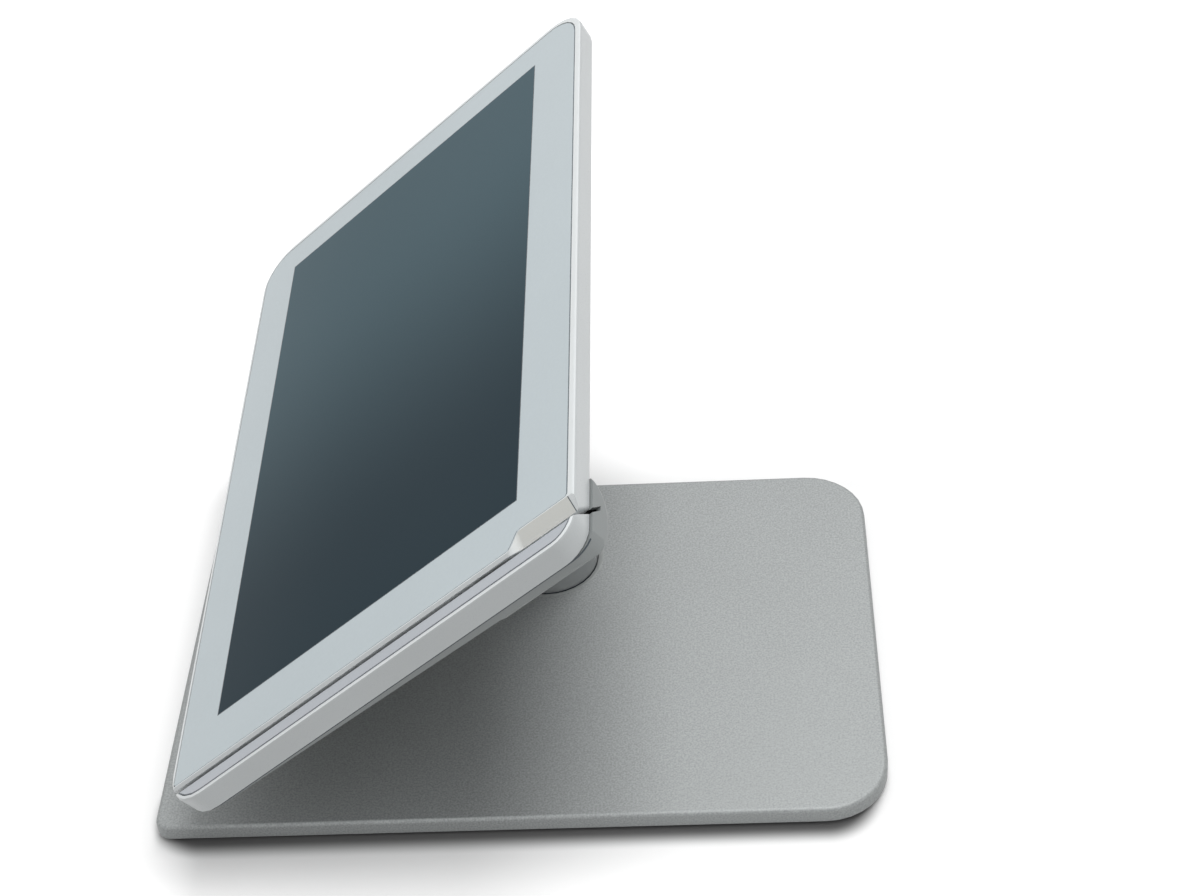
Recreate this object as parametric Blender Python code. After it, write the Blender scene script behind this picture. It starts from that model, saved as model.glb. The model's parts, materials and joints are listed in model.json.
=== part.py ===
"""Counter terminal: a leaning display on a neck that swivels in a flat base.

Metres, +Z up. The origin is on the table, under the middle of the base. The display stands in
the pose of the photograph: turned a quarter turn, so that its screen faces -X.

Three sets of axes are used. The base is modelled in world axes. The neck is modelled about the
swivel axis, with its display facing -Y. The display is modelled in its own axes: X to the
operator's right, Y up the screen, Z out of the screen, and zero at the middle of the picture.
"""

import math

import bmesh
import bpy
from mathutils import Matrix, Vector

MM = 0.001

# Clearances
SEAT_GAP = 0.3 * MM
SIDE_GAP = 0.3 * MM
OVERRUN = 4.0 * MM

# Base plate
BASE_LENGTH = 261.0 * MM
BASE_WIDTH = 173.6 * MM
BASE_THICKNESS = 7.0 * MM
BASE_CORNER = 23.0 * MM
BASE_SMALL_CORNER = 5.0 * MM
BASE_EDGE_ROUND = 1.5 * MM
PAD_THICKNESS = 1.2 * MM
PAD_INSET = 5.0 * MM
BASE_BOTTOM = PAD_THICKNESS + SEAT_GAP
BASE_TOP = BASE_BOTTOM + BASE_THICKNESS

# Ballast plate under the base
BALLAST_INSET_SIDE = 25.5 * MM
BALLAST_INSET_NEAR = 14.8 * MM
BALLAST_LENGTH = BASE_LENGTH - 2 * BALLAST_INSET_SIDE
BALLAST_WIDTH = 84.0 * MM
BALLAST_THICKNESS = 3.4 * MM
BALLAST_CORNER = 6.0 * MM
BALLAST_Y = -BASE_WIDTH / 2 + BALLAST_INSET_NEAR + BALLAST_WIDTH / 2
BALLAST_SCREW_INSET = 9.0 * MM
PLATE_SCREW_RADIUS = 1.5 * MM
PLATE_SCREW_LENGTH = 5.2 * MM
PLATE_SCREW_HEAD_RADIUS = 2.8 * MM
PLATE_SCREW_HEAD_HEIGHT = 1.2 * MM

# Swivel: a foot that turns in a well of the base
SWIVEL_X = 5.0 * MM
SWIVEL_Y_INSET = 42.1 * MM
SWIVEL_Y = BASE_WIDTH / 2 - SWIVEL_Y_INSET
FOOT_RADIUS = 19.5 * MM
WELL_GAP = 0.5 * MM
WELL_DEPTH = 2.6 * MM
COUNTERSINK_WIDTH = 2.1 * MM
COUNTERSINK_DEPTH = 0.8 * MM
SHAFT_RADIUS = 10.0 * MM
SHAFT_BORE = 5.0 * MM
SHAFT_RISE = 20.0 * MM
POCKET_RADIUS = 17.0 * MM
POCKET_DEPTH = 2.1 * MM
RETAINER_RADIUS = 16.4 * MM
RETAINER_THICKNESS = 1.4 * MM
SLIP_WASHER_OUTER = 14.0 * MM
SLIP_WASHER_THICKNESS = 0.5 * MM
STOP_PIN_RADIUS = 1.2 * MM
STOP_PIN_ORBIT = 16.8 * MM
STOP_PIN_LENGTH = 6.0 * MM
STOP_GROOVE_DEPTH = 1.3 * MM
STOP_START = math.radians(-270.0)
STOP_END = math.radians(-90.0)
RETAINER_SCREW_COUNT = 3
RETAINER_SCREW_ORBIT = 7.5 * MM
RETAINER_SCREW_RADIUS = 1.2 * MM
RETAINER_SCREW_LENGTH = 10.0 * MM
RETAINER_SCREW_HEAD = 2.3 * MM
RETAINER_SCREW_HEAD_HEIGHT = 0.9 * MM

# Neck, whose rings are placed by shares of the way from foot to hinge
NECK_RING_SHARES = (0.0, 0.12, 0.25, 0.4, 0.55, 0.7, 0.85, 1.0)
NECK_BEND_SHARE = 0.62
NECK_TOP_SHARE = 0.86

# Pose of the photograph
SWIVEL_ANGLE = math.radians(-88.7)
LEAN_FROM_VERTICAL = math.radians(50.4)
PICTURE_FORWARD = 50.6 * MM
PICTURE_HEIGHT = 103.9 * MM

# Screen and case outline, measured from the middle of the picture
PICTURE_WIDTH = 256.1 * MM
PICTURE_HEIGHT_ALONG = 144.1 * MM
BORDER_LEFT = 19.9 * MM
BORDER_RIGHT = 32.5 * MM
BORDER_TOP = 25.5 * MM
BORDER_BOTTOM = 21.5 * MM
CASE_CORNER = 18.0 * MM
CASE_READER_CORNER = 9.5 * MM
LEAST_CORNER = 2.0 * MM
CASE_LEFT = -PICTURE_WIDTH / 2 - BORDER_LEFT
CASE_RIGHT = PICTURE_WIDTH / 2 + BORDER_RIGHT
CASE_BOTTOM = -PICTURE_HEIGHT_ALONG / 2 - BORDER_BOTTOM
CASE_TOP = PICTURE_HEIGHT_ALONG / 2 + BORDER_TOP
CASE_MIDDLE = (CASE_LEFT + CASE_RIGHT) / 2

# Front frame and cover glass
FACE = 1.0 * MM
FRAME_DEPTH = 8.8 * MM
FRAME_TOP_DRAFT = 2.1 * MM
FRAME_WALL = 1.8 * MM
FRAME_EDGE_ROUND = 1.2 * MM
LEDGE_WIDTH = 6.0 * MM
LEDGE_THICKNESS = 2.0 * MM
LEDGE_CORNER = 8.0 * MM
GLASS_THICKNESS = 1.1 * MM
GLASS_RIM_TOP = 3.2 * MM
GLASS_RIM_SIDE = 3.2 * MM
GLASS_RIM_BOTTOM = 2.1 * MM
GLASS_SMALL_CORNER = 1.2 * MM
FRAME_BACK = FACE - FRAME_DEPTH
GLASS_BACK = FACE - GLASS_THICKNESS
LEDGE_FRONT = GLASS_BACK - SEAT_GAP
LEDGE_BACK = LEDGE_FRONT - LEDGE_THICKNESS

# Card slot along the right side, leaning under the screen
SLOT_ANGLE = math.radians(44.0)
SLOT_WIDTH = 1.44 * MM
SLOT_DEPTH = 12.7 * MM
SLOT_FROM_EDGE = 7.1 * MM
BEVEL_WIDTH = 1.9 * MM
BEVEL_DROP = 0.75 * MM
LEAD_IN_WIDTH = 8.2 * MM
LEAD_IN_DROP = 2.9 * MM
LEAD_IN_START = 23.7 * MM
LEAD_IN_BLEND = 5.0 * MM
LEAD_IN_STEPS = 8
BEVEL_MARGIN = 0.7 * MM
SLOT_OUTER_MOUTH = CASE_RIGHT - SLOT_FROM_EDGE
SLOT_INNER_MOUTH = SLOT_OUTER_MOUTH - SLOT_WIDTH / math.cos(SLOT_ANGLE)
SLOT_FLOOR = FACE - SLOT_DEPTH

# Strip set in the outer rail
STRIP_RIM = 1.4 * MM
STRIP_THICKNESS = 0.75 * MM
STRIP_SETBACK = 0.2 * MM

# Panel and chassis
PANEL_MARGIN_SIDE = 6.0 * MM
PANEL_MARGIN_TOP = 5.0 * MM
PANEL_MARGIN_BOTTOM = 8.0 * MM
PANEL_THICKNESS = 2.6 * MM
PANEL_FRONT = GLASS_BACK - SEAT_GAP
PANEL_BACK = PANEL_FRONT - PANEL_THICKNESS
CHASSIS_THICKNESS = 2.4 * MM
CHASSIS_INSET_SIDE = 8.0 * MM
CHASSIS_INSET_RIGHT = 21.6 * MM
CHASSIS_INSET_TOP = 7.6 * MM
CHASSIS_INSET_BOTTOM = 7.6 * MM
CHASSIS_CORNER = 26.0 * MM
CHASSIS_FRONT = LEDGE_BACK - SEAT_GAP
CHASSIS_BACK = CHASSIS_FRONT - CHASSIS_THICKNESS

# Rear shell: the case is deeper at the top than at the bottom
SHELL_FRONT = FRAME_BACK - SEAT_GAP
SHELL_WALL = 1.8 * MM
SHELL_SETBACK = 0.8 * MM
SHELL_SETBACK_TOP = 2.4 * MM
SHELL_SIDE_DEPTH = 11.2 * MM
SHELL_EDGE_DEPTH = 17.5 * MM
SHELL_DEPTH = 18.3 * MM
SHELL_WEDGE = 0.0187
FLANK_SIDE = 12.5 * MM
FLANK_TOP = 10.1 * MM
FLANK_BOTTOM = 10.0 * MM
FLANK_TOP_STEP = 4.0 * MM
BACK_EDGE_BLEND = 4.0 * MM

# Bulge of the rear shell over the card reader
BULGE_MIDDLE = 16.1 * MM
BULGE_HALF_WIDTH = 16.5 * MM
BULGE_DEPTH = 9.0 * MM
BULGE_LENGTH = 42.0 * MM
BULGE_TOP_SETBACK = 1.0 * MM
BULGE_ROUND = 2.5 * MM

# Hinge between neck and display
HINGE_DROP = 10.0 * MM
BARREL_RADIUS = 11.0 * MM
BARREL_LENGTH = 54.0 * MM
BARREL_CLEARANCE = 2.6 * MM
HINGE_SHAFT_RADIUS = 4.0 * MM
SHAFT_FIT = 0.1 * MM
FRICTION_WASHER_THICKNESS = 1.2 * MM
FRICTION_WASHER_RADIUS = 8.5 * MM
EAR_THICKNESS = 6.0 * MM
EAR_RADIUS = 9.5 * MM
EAR_FOOT_HALF = 15.0 * MM
EAR_TAPER = math.radians(10.0)
HINGE_NUT_RADIUS = 6.4 * MM
HINGE_NUT_HEIGHT = 3.4 * MM
HINGE_THREAD_SPARE = 0.9 * MM
CAP_RADIUS = 8.2 * MM
CAP_WALL = 1.4 * MM
CAP_HEIGHT = 6.2 * MM
BRACKET_LENGTH = 112.0 * MM
BRACKET_WIDTH = 68.0 * MM
BRACKET_THICKNESS = 3.0 * MM
BRACKET_CORNER = 9.0 * MM
BRACKET_EDGE_ROUND = 0.8 * MM
HUB_MARGIN = 6.0 * MM
HUB_RISE = 1.2 * MM
BRACKET_SCREW_INSET = 9.0 * MM
BRACKET_SCREW_RADIUS = 1.5 * MM
BRACKET_SCREW_HEAD = 2.9 * MM
BRACKET_SCREW_HEAD_HEIGHT = 1.8 * MM
CHASSIS_BOSS_RADIUS = 3.2 * MM
HUB_BACK = FACE - SHELL_DEPTH - HUB_RISE
BRACKET_FRONT = HUB_BACK - SEAT_GAP
BRACKET_BACK = BRACKET_FRONT - BRACKET_THICKNESS
HINGE_Y = -HINGE_DROP
HINGE_Z = BRACKET_BACK - BARREL_CLEARANCE - BARREL_RADIUS

# Screws that hold the rear shell
SHELL_SCREW_RADIUS = 1.3 * MM
SHELL_SCREW_HEAD = 2.3 * MM
SHELL_SCREW_HEAD_HEIGHT = 1.4 * MM
SHELL_SCREW_WEB = 1.1 * MM
SHELL_BOSS_WALL = 1.2 * MM
FRAME_BOSS_RADIUS = 2.7 * MM
SHELL_SCREW_INSET_SIDE = 11.5 * MM
SHELL_SCREW_INSET_RIGHT = 29.2 * MM
SHELL_SCREW_INSET_END = 10.0 * MM
SHELL_SCREW_ENGAGEMENT = 3.0 * MM
RAIL_SCREW_INSET = 7.0 * MM
RAIL_SCREW_HIGH_INSET = 69.55 * MM
RAIL_SCREW_HIGH = CASE_TOP - RAIL_SCREW_HIGH_INSET
RAIL_SCREW_LOW_INSET = 35.55 * MM
RAIL_SCREW_LOW = CASE_BOTTOM + RAIL_SCREW_LOW_INSET

# Boards and other inner pieces
BOARD_THICKNESS = 1.6 * MM
BOARD_STANDOFF = 3.0 * MM
STANDOFF_RADIUS = 2.6 * MM
STANDOFF_INSET = 5.0 * MM
MAIN_BOARD_INSET_LEFT = 53.95 * MM
MAIN_BOARD_INSET_RIGHT = 78.55 * MM
MAIN_BOARD_INSET_TOP = 15.55 * MM
MAIN_BOARD_ABOVE_BRACKET = 2.0 * MM
MAIN_BOARD_LEFT = CASE_LEFT + MAIN_BOARD_INSET_LEFT
MAIN_BOARD_RIGHT = CASE_RIGHT - MAIN_BOARD_INSET_RIGHT
MAIN_BOARD_LOW = HINGE_Y + BRACKET_WIDTH / 2 + MAIN_BOARD_ABOVE_BRACKET
MAIN_BOARD_HIGH = CASE_TOP - MAIN_BOARD_INSET_TOP
MAIN_BOARD_LENGTH = MAIN_BOARD_RIGHT - MAIN_BOARD_LEFT
MAIN_BOARD_WIDTH = MAIN_BOARD_HIGH - MAIN_BOARD_LOW
MAIN_BOARD_X = (MAIN_BOARD_LEFT + MAIN_BOARD_RIGHT) / 2
MAIN_BOARD_Y = (MAIN_BOARD_LOW + MAIN_BOARD_HIGH) / 2
SHIELD_LENGTH = 62.0 * MM
SHIELD_WIDTH = 42.0 * MM
SHIELD_HEIGHT = 2.6 * MM
SPREADER_LENGTH = 70.0 * MM
SPREADER_WIDTH = 46.0 * MM
SPREADER_THICKNESS = 0.8 * MM
SPEAKER_LENGTH = 44.0 * MM
SPEAKER_WIDTH = 15.0 * MM
SPEAKER_DEPTH = 5.0 * MM
SPEAKER_X_INSET = 46.05 * MM
SPEAKER_X = PICTURE_WIDTH / 2 - SPEAKER_X_INSET
SPEAKER_Y_INSET = 25.55 * MM
SPEAKER_Y = CASE_BOTTOM + SPEAKER_Y_INSET
READER_BOARD_LENGTH = 40.0 * MM
READER_BOARD_WIDTH = 12.0 * MM
READER_BOARD_X_INSET = 34.15 * MM
READER_BOARD_X = CASE_RIGHT - READER_BOARD_X_INSET
READER_BOARD_Y_INSET = 35.55 * MM
READER_BOARD_Y = CASE_TOP - READER_BOARD_Y_INSET
SOCKET_BOARD_LENGTH = 34.0 * MM
SOCKET_BOARD_WIDTH = 18.0 * MM
SOCKET_X_INSET = 47.95 * MM
SOCKET_X = CASE_LEFT + SOCKET_X_INSET
SOCKET_Y_INSET = 59.55 * MM
SOCKET_Y = CASE_BOTTOM + SOCKET_Y_INSET
SOCKET_LENGTH = 12.0 * MM
SOCKET_WIDTH = 6.0 * MM
SOCKET_WALL = 0.5 * MM
SOCKET_CORNER = 1.2 * MM
SOCKET_FLOOR = 1.2 * MM
SOCKET_SHY = 0.3 * MM
BUTTON_X_INSET = 35.95 * MM
BUTTON_X = CASE_LEFT + BUTTON_X_INSET
BUTTON_Y_INSET = 45.55 * MM
BUTTON_Y = CASE_TOP - BUTTON_Y_INSET
BUTTON_RADIUS = 5.0 * MM
BUTTON_FLANGE = 1.4 * MM
BUTTON_FLANGE_THICKNESS = 1.0 * MM
BUTTON_PROUD = 0.8 * MM
BUTTON_ROUND = 0.5 * MM
BUTTON_TRAVEL = 0.4 * MM
BUTTON_STEM_RADIUS = 1.8 * MM
SWITCH_BOARD_SIDE = 15.0 * MM
SWITCH_SIDE = 6.0 * MM
SWITCH_HEIGHT = 2.4 * MM
SWITCH_STANDOFF = 4.6 * MM
VENT_COUNT = 12
VENT_PITCH = 7.0 * MM
VENT_WIDTH = 2.2 * MM
VENT_LENGTH = 11.0 * MM
VENT_Y_INSET = 31.55 * MM
VENT_Y = CASE_TOP - VENT_Y_INSET
SLOT_END_SHARE = 0.48
SPEAKER_SLOT_COUNT = 5
SPEAKER_SLOT_PITCH = 6.0 * MM
SPEAKER_SLOT_WIDTH = 1.4 * MM
SPEAKER_SLOT_LENGTH = 8.0 * MM

# Card reader under the slot
READER_LEFT_WALL = 3.4 * MM
READER_RIGHT_WALL = 2.8 * MM
READER_FLOOR_WALL = 1.1 * MM
READER_END_BOTTOM = 6.0 * MM
READER_END_TOP = 4.2 * MM
READER_FOOT_WIDTH = 6.0 * MM
READER_FOOT_LOW_INSET = 47.55 * MM
READER_FOOT_LOW = CASE_BOTTOM + READER_FOOT_LOW_INSET
READER_FOOT_HIGH_INSET = 81.55 * MM
READER_FOOT_HIGH = CASE_TOP - READER_FOOT_HIGH_INSET
HEAD_Y_INSET = 37.55 * MM
HEAD_Y = CASE_TOP - HEAD_Y_INSET
HEAD_ABOVE_FLOOR = 8.0 * MM
HEAD_LENGTH = 8.0 * MM
HEAD_WIDTH = 6.0 * MM
HEAD_DEPTH = 4.5 * MM
HEAD_PROUD = 0.4 * MM
HEAD_TRAVEL = 0.5 * MM
HEAD_ROUND = 0.9 * MM
HOLDER_WALL = 1.3 * MM
HOLDER_END_WALL = 2.7 * MM
HEAD_SPRING_THICKNESS = 0.3 * MM

# Finishes: colour, roughness, metallic
FINISHES = {
    "satin_silver": ((0.36, 0.38, 0.38), 0.42, 0.6),
    "case_white": ((0.80, 0.81, 0.80), 0.38, 0.0),
    "case_grey": ((0.42, 0.44, 0.45), 0.45, 0.2),
    "border_glass": ((0.62, 0.67, 0.70), 0.12, 0.0),
    "strip_lavender": ((0.60, 0.61, 0.67), 0.15, 0.0),
    "panel_dark": ((0.05, 0.07, 0.09), 0.2, 0.0),
    "bare_steel": ((0.52, 0.53, 0.55), 0.35, 1.0),
    "black_plastic": ((0.03, 0.03, 0.03), 0.5, 0.0),
    "rubber": ((0.03, 0.03, 0.035), 0.8, 0.0),
    "slip_plastic": ((0.75, 0.74, 0.68), 0.4, 0.0),
    "board_green": ((0.02, 0.14, 0.08), 0.5, 0.0),
    "copper": ((0.65, 0.32, 0.18), 0.3, 1.0),
    "magnesium": ((0.33, 0.34, 0.35), 0.5, 0.8),
}

CORNER_STEPS = 6
ROUND_SIDES = 32
SMALL_SIDES = 12
MERGE_DISTANCE = 0.002 * MM
SMOOTH_ANGLE = math.radians(32.0)
FLAT_ANGLE = math.radians(0.2)

ALONG_X = Matrix(((0, 0, 1, 0), (1, 0, 0, 0), (0, 1, 0, 0), (0, 0, 0, 1)))
ALONG_Y = Matrix(((1, 0, 0, 0), (0, 0, -1, 0), (0, 1, 0, 0), (0, 0, 0, 1)))


# Scene, collections and finishes


def clear_scene():
    for item in list(bpy.data.objects):
        bpy.data.objects.remove(item, do_unlink=True)


def make_collection(name):
    collection = bpy.data.collections.new(name)
    bpy.context.scene.collection.children.link(collection)
    return collection


def make_finish(name):
    colour, roughness, metallic = FINISHES[name]
    material = bpy.data.materials.new(name)
    material.use_nodes = True
    shader = material.node_tree.nodes["Principled BSDF"]
    shader.inputs["Base Color"].default_value = (*colour, 1.0)
    shader.inputs["Roughness"].default_value = roughness
    shader.inputs["Metallic"].default_value = metallic
    material.diffuse_color = (*colour, 1.0)
    return material


def make_empty(name, collection, location, rotation, parent=None):
    empty = bpy.data.objects.new(name, None)
    collection.objects.link(empty)
    empty.location = location
    empty.rotation_euler = rotation
    empty.parent = parent
    return empty


# Basic solids, made in the axes of the group that they belong to


def workpiece(name, mesh):
    solid = bpy.data.objects.new(name, mesh)
    bpy.context.scene.collection.objects.link(solid)
    return solid


def tidy_mesh(mesh):
    bm = bmesh.new()
    bm.from_mesh(mesh)
    bmesh.ops.remove_doubles(bm, verts=bm.verts, dist=MERGE_DISTANCE)
    bmesh.ops.dissolve_degenerate(bm, dist=MERGE_DISTANCE, edges=bm.edges)
    bmesh.ops.dissolve_limit(
        bm, angle_limit=FLAT_ANGLE, verts=bm.verts, edges=bm.edges)
    bmesh.ops.recalc_face_normals(bm, faces=bm.faces)
    bm.to_mesh(mesh)
    bm.free()


def evaluated_copy(solid):
    depsgraph = bpy.context.evaluated_depsgraph_get()
    return bpy.data.meshes.new_from_object(solid.evaluated_get(depsgraph))


def flat_solid(name, outline, low, high, turn=None):
    """A flat outline given a thickness; turn lays its axis along X or Y."""
    curve = bpy.data.curves.new(name, "CURVE")
    curve.dimensions = "2D"
    curve.fill_mode = "BOTH"
    curve.extrude = (high - low) / 2
    spline = curve.splines.new("POLY")
    spline.points.add(len(outline) - 1)
    for point, (x, y) in zip(spline.points, outline):
        point.co = (x, y, 0, 1)
    spline.use_cyclic_u = True
    drawn = workpiece(name, curve)
    mesh = evaluated_copy(drawn)
    mesh.transform(Matrix.Translation((0, 0, (low + high) / 2)))
    if turn is not None:
        mesh.transform(turn)
    bpy.data.objects.remove(drawn, do_unlink=True)
    tidy_mesh(mesh)
    return workpiece(name, mesh)


def prism_along_y(name, outline, low, high):
    """An outline of (x, z) points that runs from low to high along Y."""
    return flat_solid(name, outline, -high, -low, ALONG_Y)


def prism_along_x(name, outline, low, high):
    """An outline of (y, z) points that runs from low to high along X."""
    return flat_solid(name, outline, low, high, ALONG_X)


def rod(name, radius, low, high, x=0.0, y=0.0, sides=ROUND_SIDES, turn=None, end_radius=None):
    """A cylinder or cone from low to high; turn lays it along X or Y."""
    bm = bmesh.new()
    top_radius = radius if end_radius is None else end_radius
    place = Matrix.Translation((x, y, (low + high) / 2))
    bmesh.ops.create_cone(
        bm, cap_ends=True, segments=sides, radius1=radius, radius2=top_radius,
        depth=high - low, matrix=place)
    mesh = bpy.data.meshes.new(name)
    bm.to_mesh(mesh)
    bm.free()
    if turn is not None:
        mesh.transform(turn)
    return workpiece(name, mesh)


def block(name, low, high):
    """A box between two opposite corners."""
    size = [b - a for a, b in zip(low, high)]
    middle = [(a + b) / 2 for a, b in zip(low, high)]
    bm = bmesh.new()
    bmesh.ops.create_cube(bm, size=1.0)
    bmesh.ops.scale(bm, vec=size, verts=bm.verts)
    bmesh.ops.translate(bm, vec=middle, verts=bm.verts)
    mesh = bpy.data.meshes.new(name)
    bm.to_mesh(mesh)
    bm.free()
    return workpiece(name, mesh)


def loft(name, rings):
    """A solid skinned over rings that have the same number of points."""
    bm = bmesh.new()
    loops = [[bm.verts.new(point) for point in ring] for ring in rings]
    count = len(loops[0])
    for lower, upper in zip(loops, loops[1:]):
        for i in range(count):
            j = (i + 1) % count
            bm.faces.new((lower[i], lower[j], upper[j], upper[i]))
    bm.faces.new(reversed(loops[0]))
    bm.faces.new(loops[-1])
    bmesh.ops.recalc_face_normals(bm, faces=bm.faces)
    mesh = bpy.data.meshes.new(name)
    bm.to_mesh(mesh)
    bm.free()
    return workpiece(name, mesh)


def combine(body, tools, operation):
    for tool in tools:
        modifier = body.modifiers.new(operation.title(), "BOOLEAN")
        modifier.operation = operation
        modifier.solver = "EXACT"
        modifier.object = tool
    mesh = evaluated_copy(body)
    body.modifiers.clear()
    body.data = mesh
    for tool in tools:
        bpy.data.objects.remove(tool, do_unlink=True)
    tidy_mesh(mesh)
    return body


def cut(body, *tools):
    return combine(body, tools, "DIFFERENCE")


def join(body, *tools):
    return combine(body, tools, "UNION")


def keep_inside(body, *tools):
    return combine(body, tools, "INTERSECT")


def round_edges(solid, chosen, width, segments=2):
    """Rounds the edges whose middle point passes the test."""
    bm = bmesh.new()
    bm.from_mesh(solid.data)
    edges = [e for e in bm.edges if chosen(e.verts[0].co, e.verts[1].co)]
    bmesh.ops.bevel(
        bm, geom=edges, offset=width, offset_type="OFFSET", segments=segments,
        profile=0.5, affect="EDGES", material=-1, clamp_overlap=True)
    bm.to_mesh(solid.data)
    bm.free()
    return solid


def round_level(solid, level, width, segments=2):
    """Rounds the edges that lie flat at one height."""
    def at_level(first, second):
        return abs(first.z - level) < SEAT_GAP / 3 and abs(second.z - level) < SEAT_GAP / 3
    return round_edges(solid, at_level, width, segments)


# Outlines


def arc(x, y, radius, start, end, steps=CORNER_STEPS):
    return [
        (x + radius * math.cos(start + (end - start) * i / steps),
         y + radius * math.sin(start + (end - start) * i / steps))
        for i in range(steps + 1)]


def rounded_rectangle(left, right, bottom, top, radii, steps=CORNER_STEPS):
    """Corner radii in the order right-bottom, right-top, left-top, left-bottom."""
    quarter = math.pi / 2
    corners = (
        (right - radii[0], bottom + radii[0]), (right - radii[1], top - radii[1]),
        (left + radii[2], top - radii[2]), (left + radii[3], bottom + radii[3]))
    points = []
    for index, ((x, y), radius) in enumerate(zip(corners, radii)):
        start = quarter * (index - 1)
        points += arc(x, y, radius, start, start + quarter, steps)
    return points


def centred_rectangle(length, width, corner, x=0.0, y=0.0, steps=3):
    return rounded_rectangle(
        x - length / 2, x + length / 2, y - width / 2, y + width / 2, (corner,) * 4, steps)


def case_outline(left, right, bottom, top):
    """The outline of the case, drawn in by its own distance on each side."""
    radii = (
        CASE_CORNER - min(right, bottom), CASE_READER_CORNER - min(right, top),
        CASE_CORNER - min(left, top), CASE_CORNER - min(left, bottom))
    return rounded_rectangle(
        CASE_LEFT + left, CASE_RIGHT - right, CASE_BOTTOM + bottom, CASE_TOP - top,
        [max(radius, LEAST_CORNER) for radius in radii])


def even_case_outline(inset):
    return case_outline(inset, inset, inset, inset)


def slot_inner(z):
    return SLOT_INNER_MOUTH - (FACE - z) * math.tan(SLOT_ANGLE)


def slot_outer(z):
    return SLOT_OUTER_MOUTH - (FACE - z) * math.tan(SLOT_ANGLE)


# Base group, in world axes


def ballast_screw_places():
    x = BALLAST_LENGTH / 2 - BALLAST_SCREW_INSET
    y = BALLAST_WIDTH / 2 - BALLAST_SCREW_INSET
    return [(sx * x, BALLAST_Y + sy * y) for sx in (-1, 1) for sy in (-1, 1)]


def base_outline(inset):
    radii = [BASE_CORNER, BASE_CORNER, BASE_SMALL_CORNER, BASE_SMALL_CORNER]
    half_length = BASE_LENGTH / 2 - inset
    half_width = BASE_WIDTH / 2 - inset
    return rounded_rectangle(
        -half_length, half_length, -half_width, half_width,
        [max(radius - inset, BASE_EDGE_ROUND) for radius in radii], CORNER_STEPS + 2)


def stop_groove():
    """An arc-shaped groove in the floor of the well; its ends stop the swivel."""
    half = STOP_PIN_RADIUS + SIDE_GAP
    start = STOP_START - half / STOP_PIN_ORBIT
    end = STOP_END + half / STOP_PIN_ORBIT
    steps = ROUND_SIDES // 2
    outer = arc(SWIVEL_X, SWIVEL_Y, STOP_PIN_ORBIT + half, start, end, steps)
    inner = arc(SWIVEL_X, SWIVEL_Y, STOP_PIN_ORBIT - half, end, start, steps)
    floor = BASE_TOP - WELL_DEPTH
    return flat_solid("stop_groove", outer + inner, floor - STOP_GROOVE_DEPTH, floor + OVERRUN)


def make_base_plate():
    plate = flat_solid("base_plate", base_outline(0), BASE_BOTTOM, BASE_TOP)
    round_level(plate, BASE_TOP, BASE_EDGE_ROUND, 3)
    round_level(plate, BASE_BOTTOM, BASE_EDGE_ROUND / 2, 1)
    well_radius = FOOT_RADIUS + WELL_GAP
    cone_top = BASE_TOP + OVERRUN
    centre = {"x": SWIVEL_X, "y": SWIVEL_Y}
    well = rod("well", well_radius, BASE_TOP - WELL_DEPTH, cone_top, **centre)
    growth = COUNTERSINK_WIDTH * (1 + OVERRUN / COUNTERSINK_DEPTH)
    countersink = rod(
        "countersink", well_radius, BASE_TOP - COUNTERSINK_DEPTH, cone_top, **centre,
        end_radius=well_radius + growth)
    shaft_hole = rod("shaft_hole", SHAFT_RADIUS + SHAFT_FIT, -OVERRUN, cone_top, **centre)
    pocket = rod(
        "pocket", POCKET_RADIUS, BASE_BOTTOM - OVERRUN, BASE_BOTTOM + POCKET_DEPTH, **centre)
    ballast_pocket = flat_solid(
        "ballast_pocket",
        centred_rectangle(
            BALLAST_LENGTH + 2 * SIDE_GAP, BALLAST_WIDTH + 2 * SIDE_GAP,
            BALLAST_CORNER + SIDE_GAP, 0, BALLAST_Y),
        BASE_BOTTOM - OVERRUN, BASE_BOTTOM + BALLAST_THICKNESS + SEAT_GAP)
    screw_top = BASE_BOTTOM + PLATE_SCREW_LENGTH + SEAT_GAP
    screw_holes = [
        rod("screw_hole", PLATE_SCREW_RADIUS + SIDE_GAP, BASE_BOTTOM, screw_top, x, y, SMALL_SIDES)
        for x, y in ballast_screw_places()]
    return cut(
        plate, countersink, well, shaft_hole, pocket, stop_groove(), ballast_pocket,
        *screw_holes)


def make_ballast_plate():
    plate = flat_solid(
        "ballast_plate",
        centred_rectangle(BALLAST_LENGTH, BALLAST_WIDTH, BALLAST_CORNER, 0, BALLAST_Y),
        BASE_BOTTOM, BASE_BOTTOM + BALLAST_THICKNESS)
    holes = []
    for x, y in ballast_screw_places():
        head_top = BASE_BOTTOM + PLATE_SCREW_HEAD_HEIGHT + SEAT_GAP
        holes.append(rod(
            "hole", PLATE_SCREW_RADIUS + SIDE_GAP, -OVERRUN, BASE_TOP, x, y, SMALL_SIDES))
        holes.append(rod(
            "head_hole", PLATE_SCREW_HEAD_RADIUS + SIDE_GAP, -OVERRUN, head_top, x, y,
            SMALL_SIDES))
    return cut(plate, *holes)


def screw(name, x, y, head_end, head_radius, head_height, radius, tip, sides=SMALL_SIDES):
    """A screw along Z: its head lies between head_end and the side of the tip."""
    toward_tip = 1 if tip > head_end else -1
    neck = head_end + toward_tip * head_height
    head = rod(name, head_radius, min(head_end, neck), max(head_end, neck), x, y, sides)
    overlap = head_end + toward_tip * head_height / 2
    shank = rod("shank", radius, min(overlap, tip), max(overlap, tip), x, y, sides)
    return join(head, shank)


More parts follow.
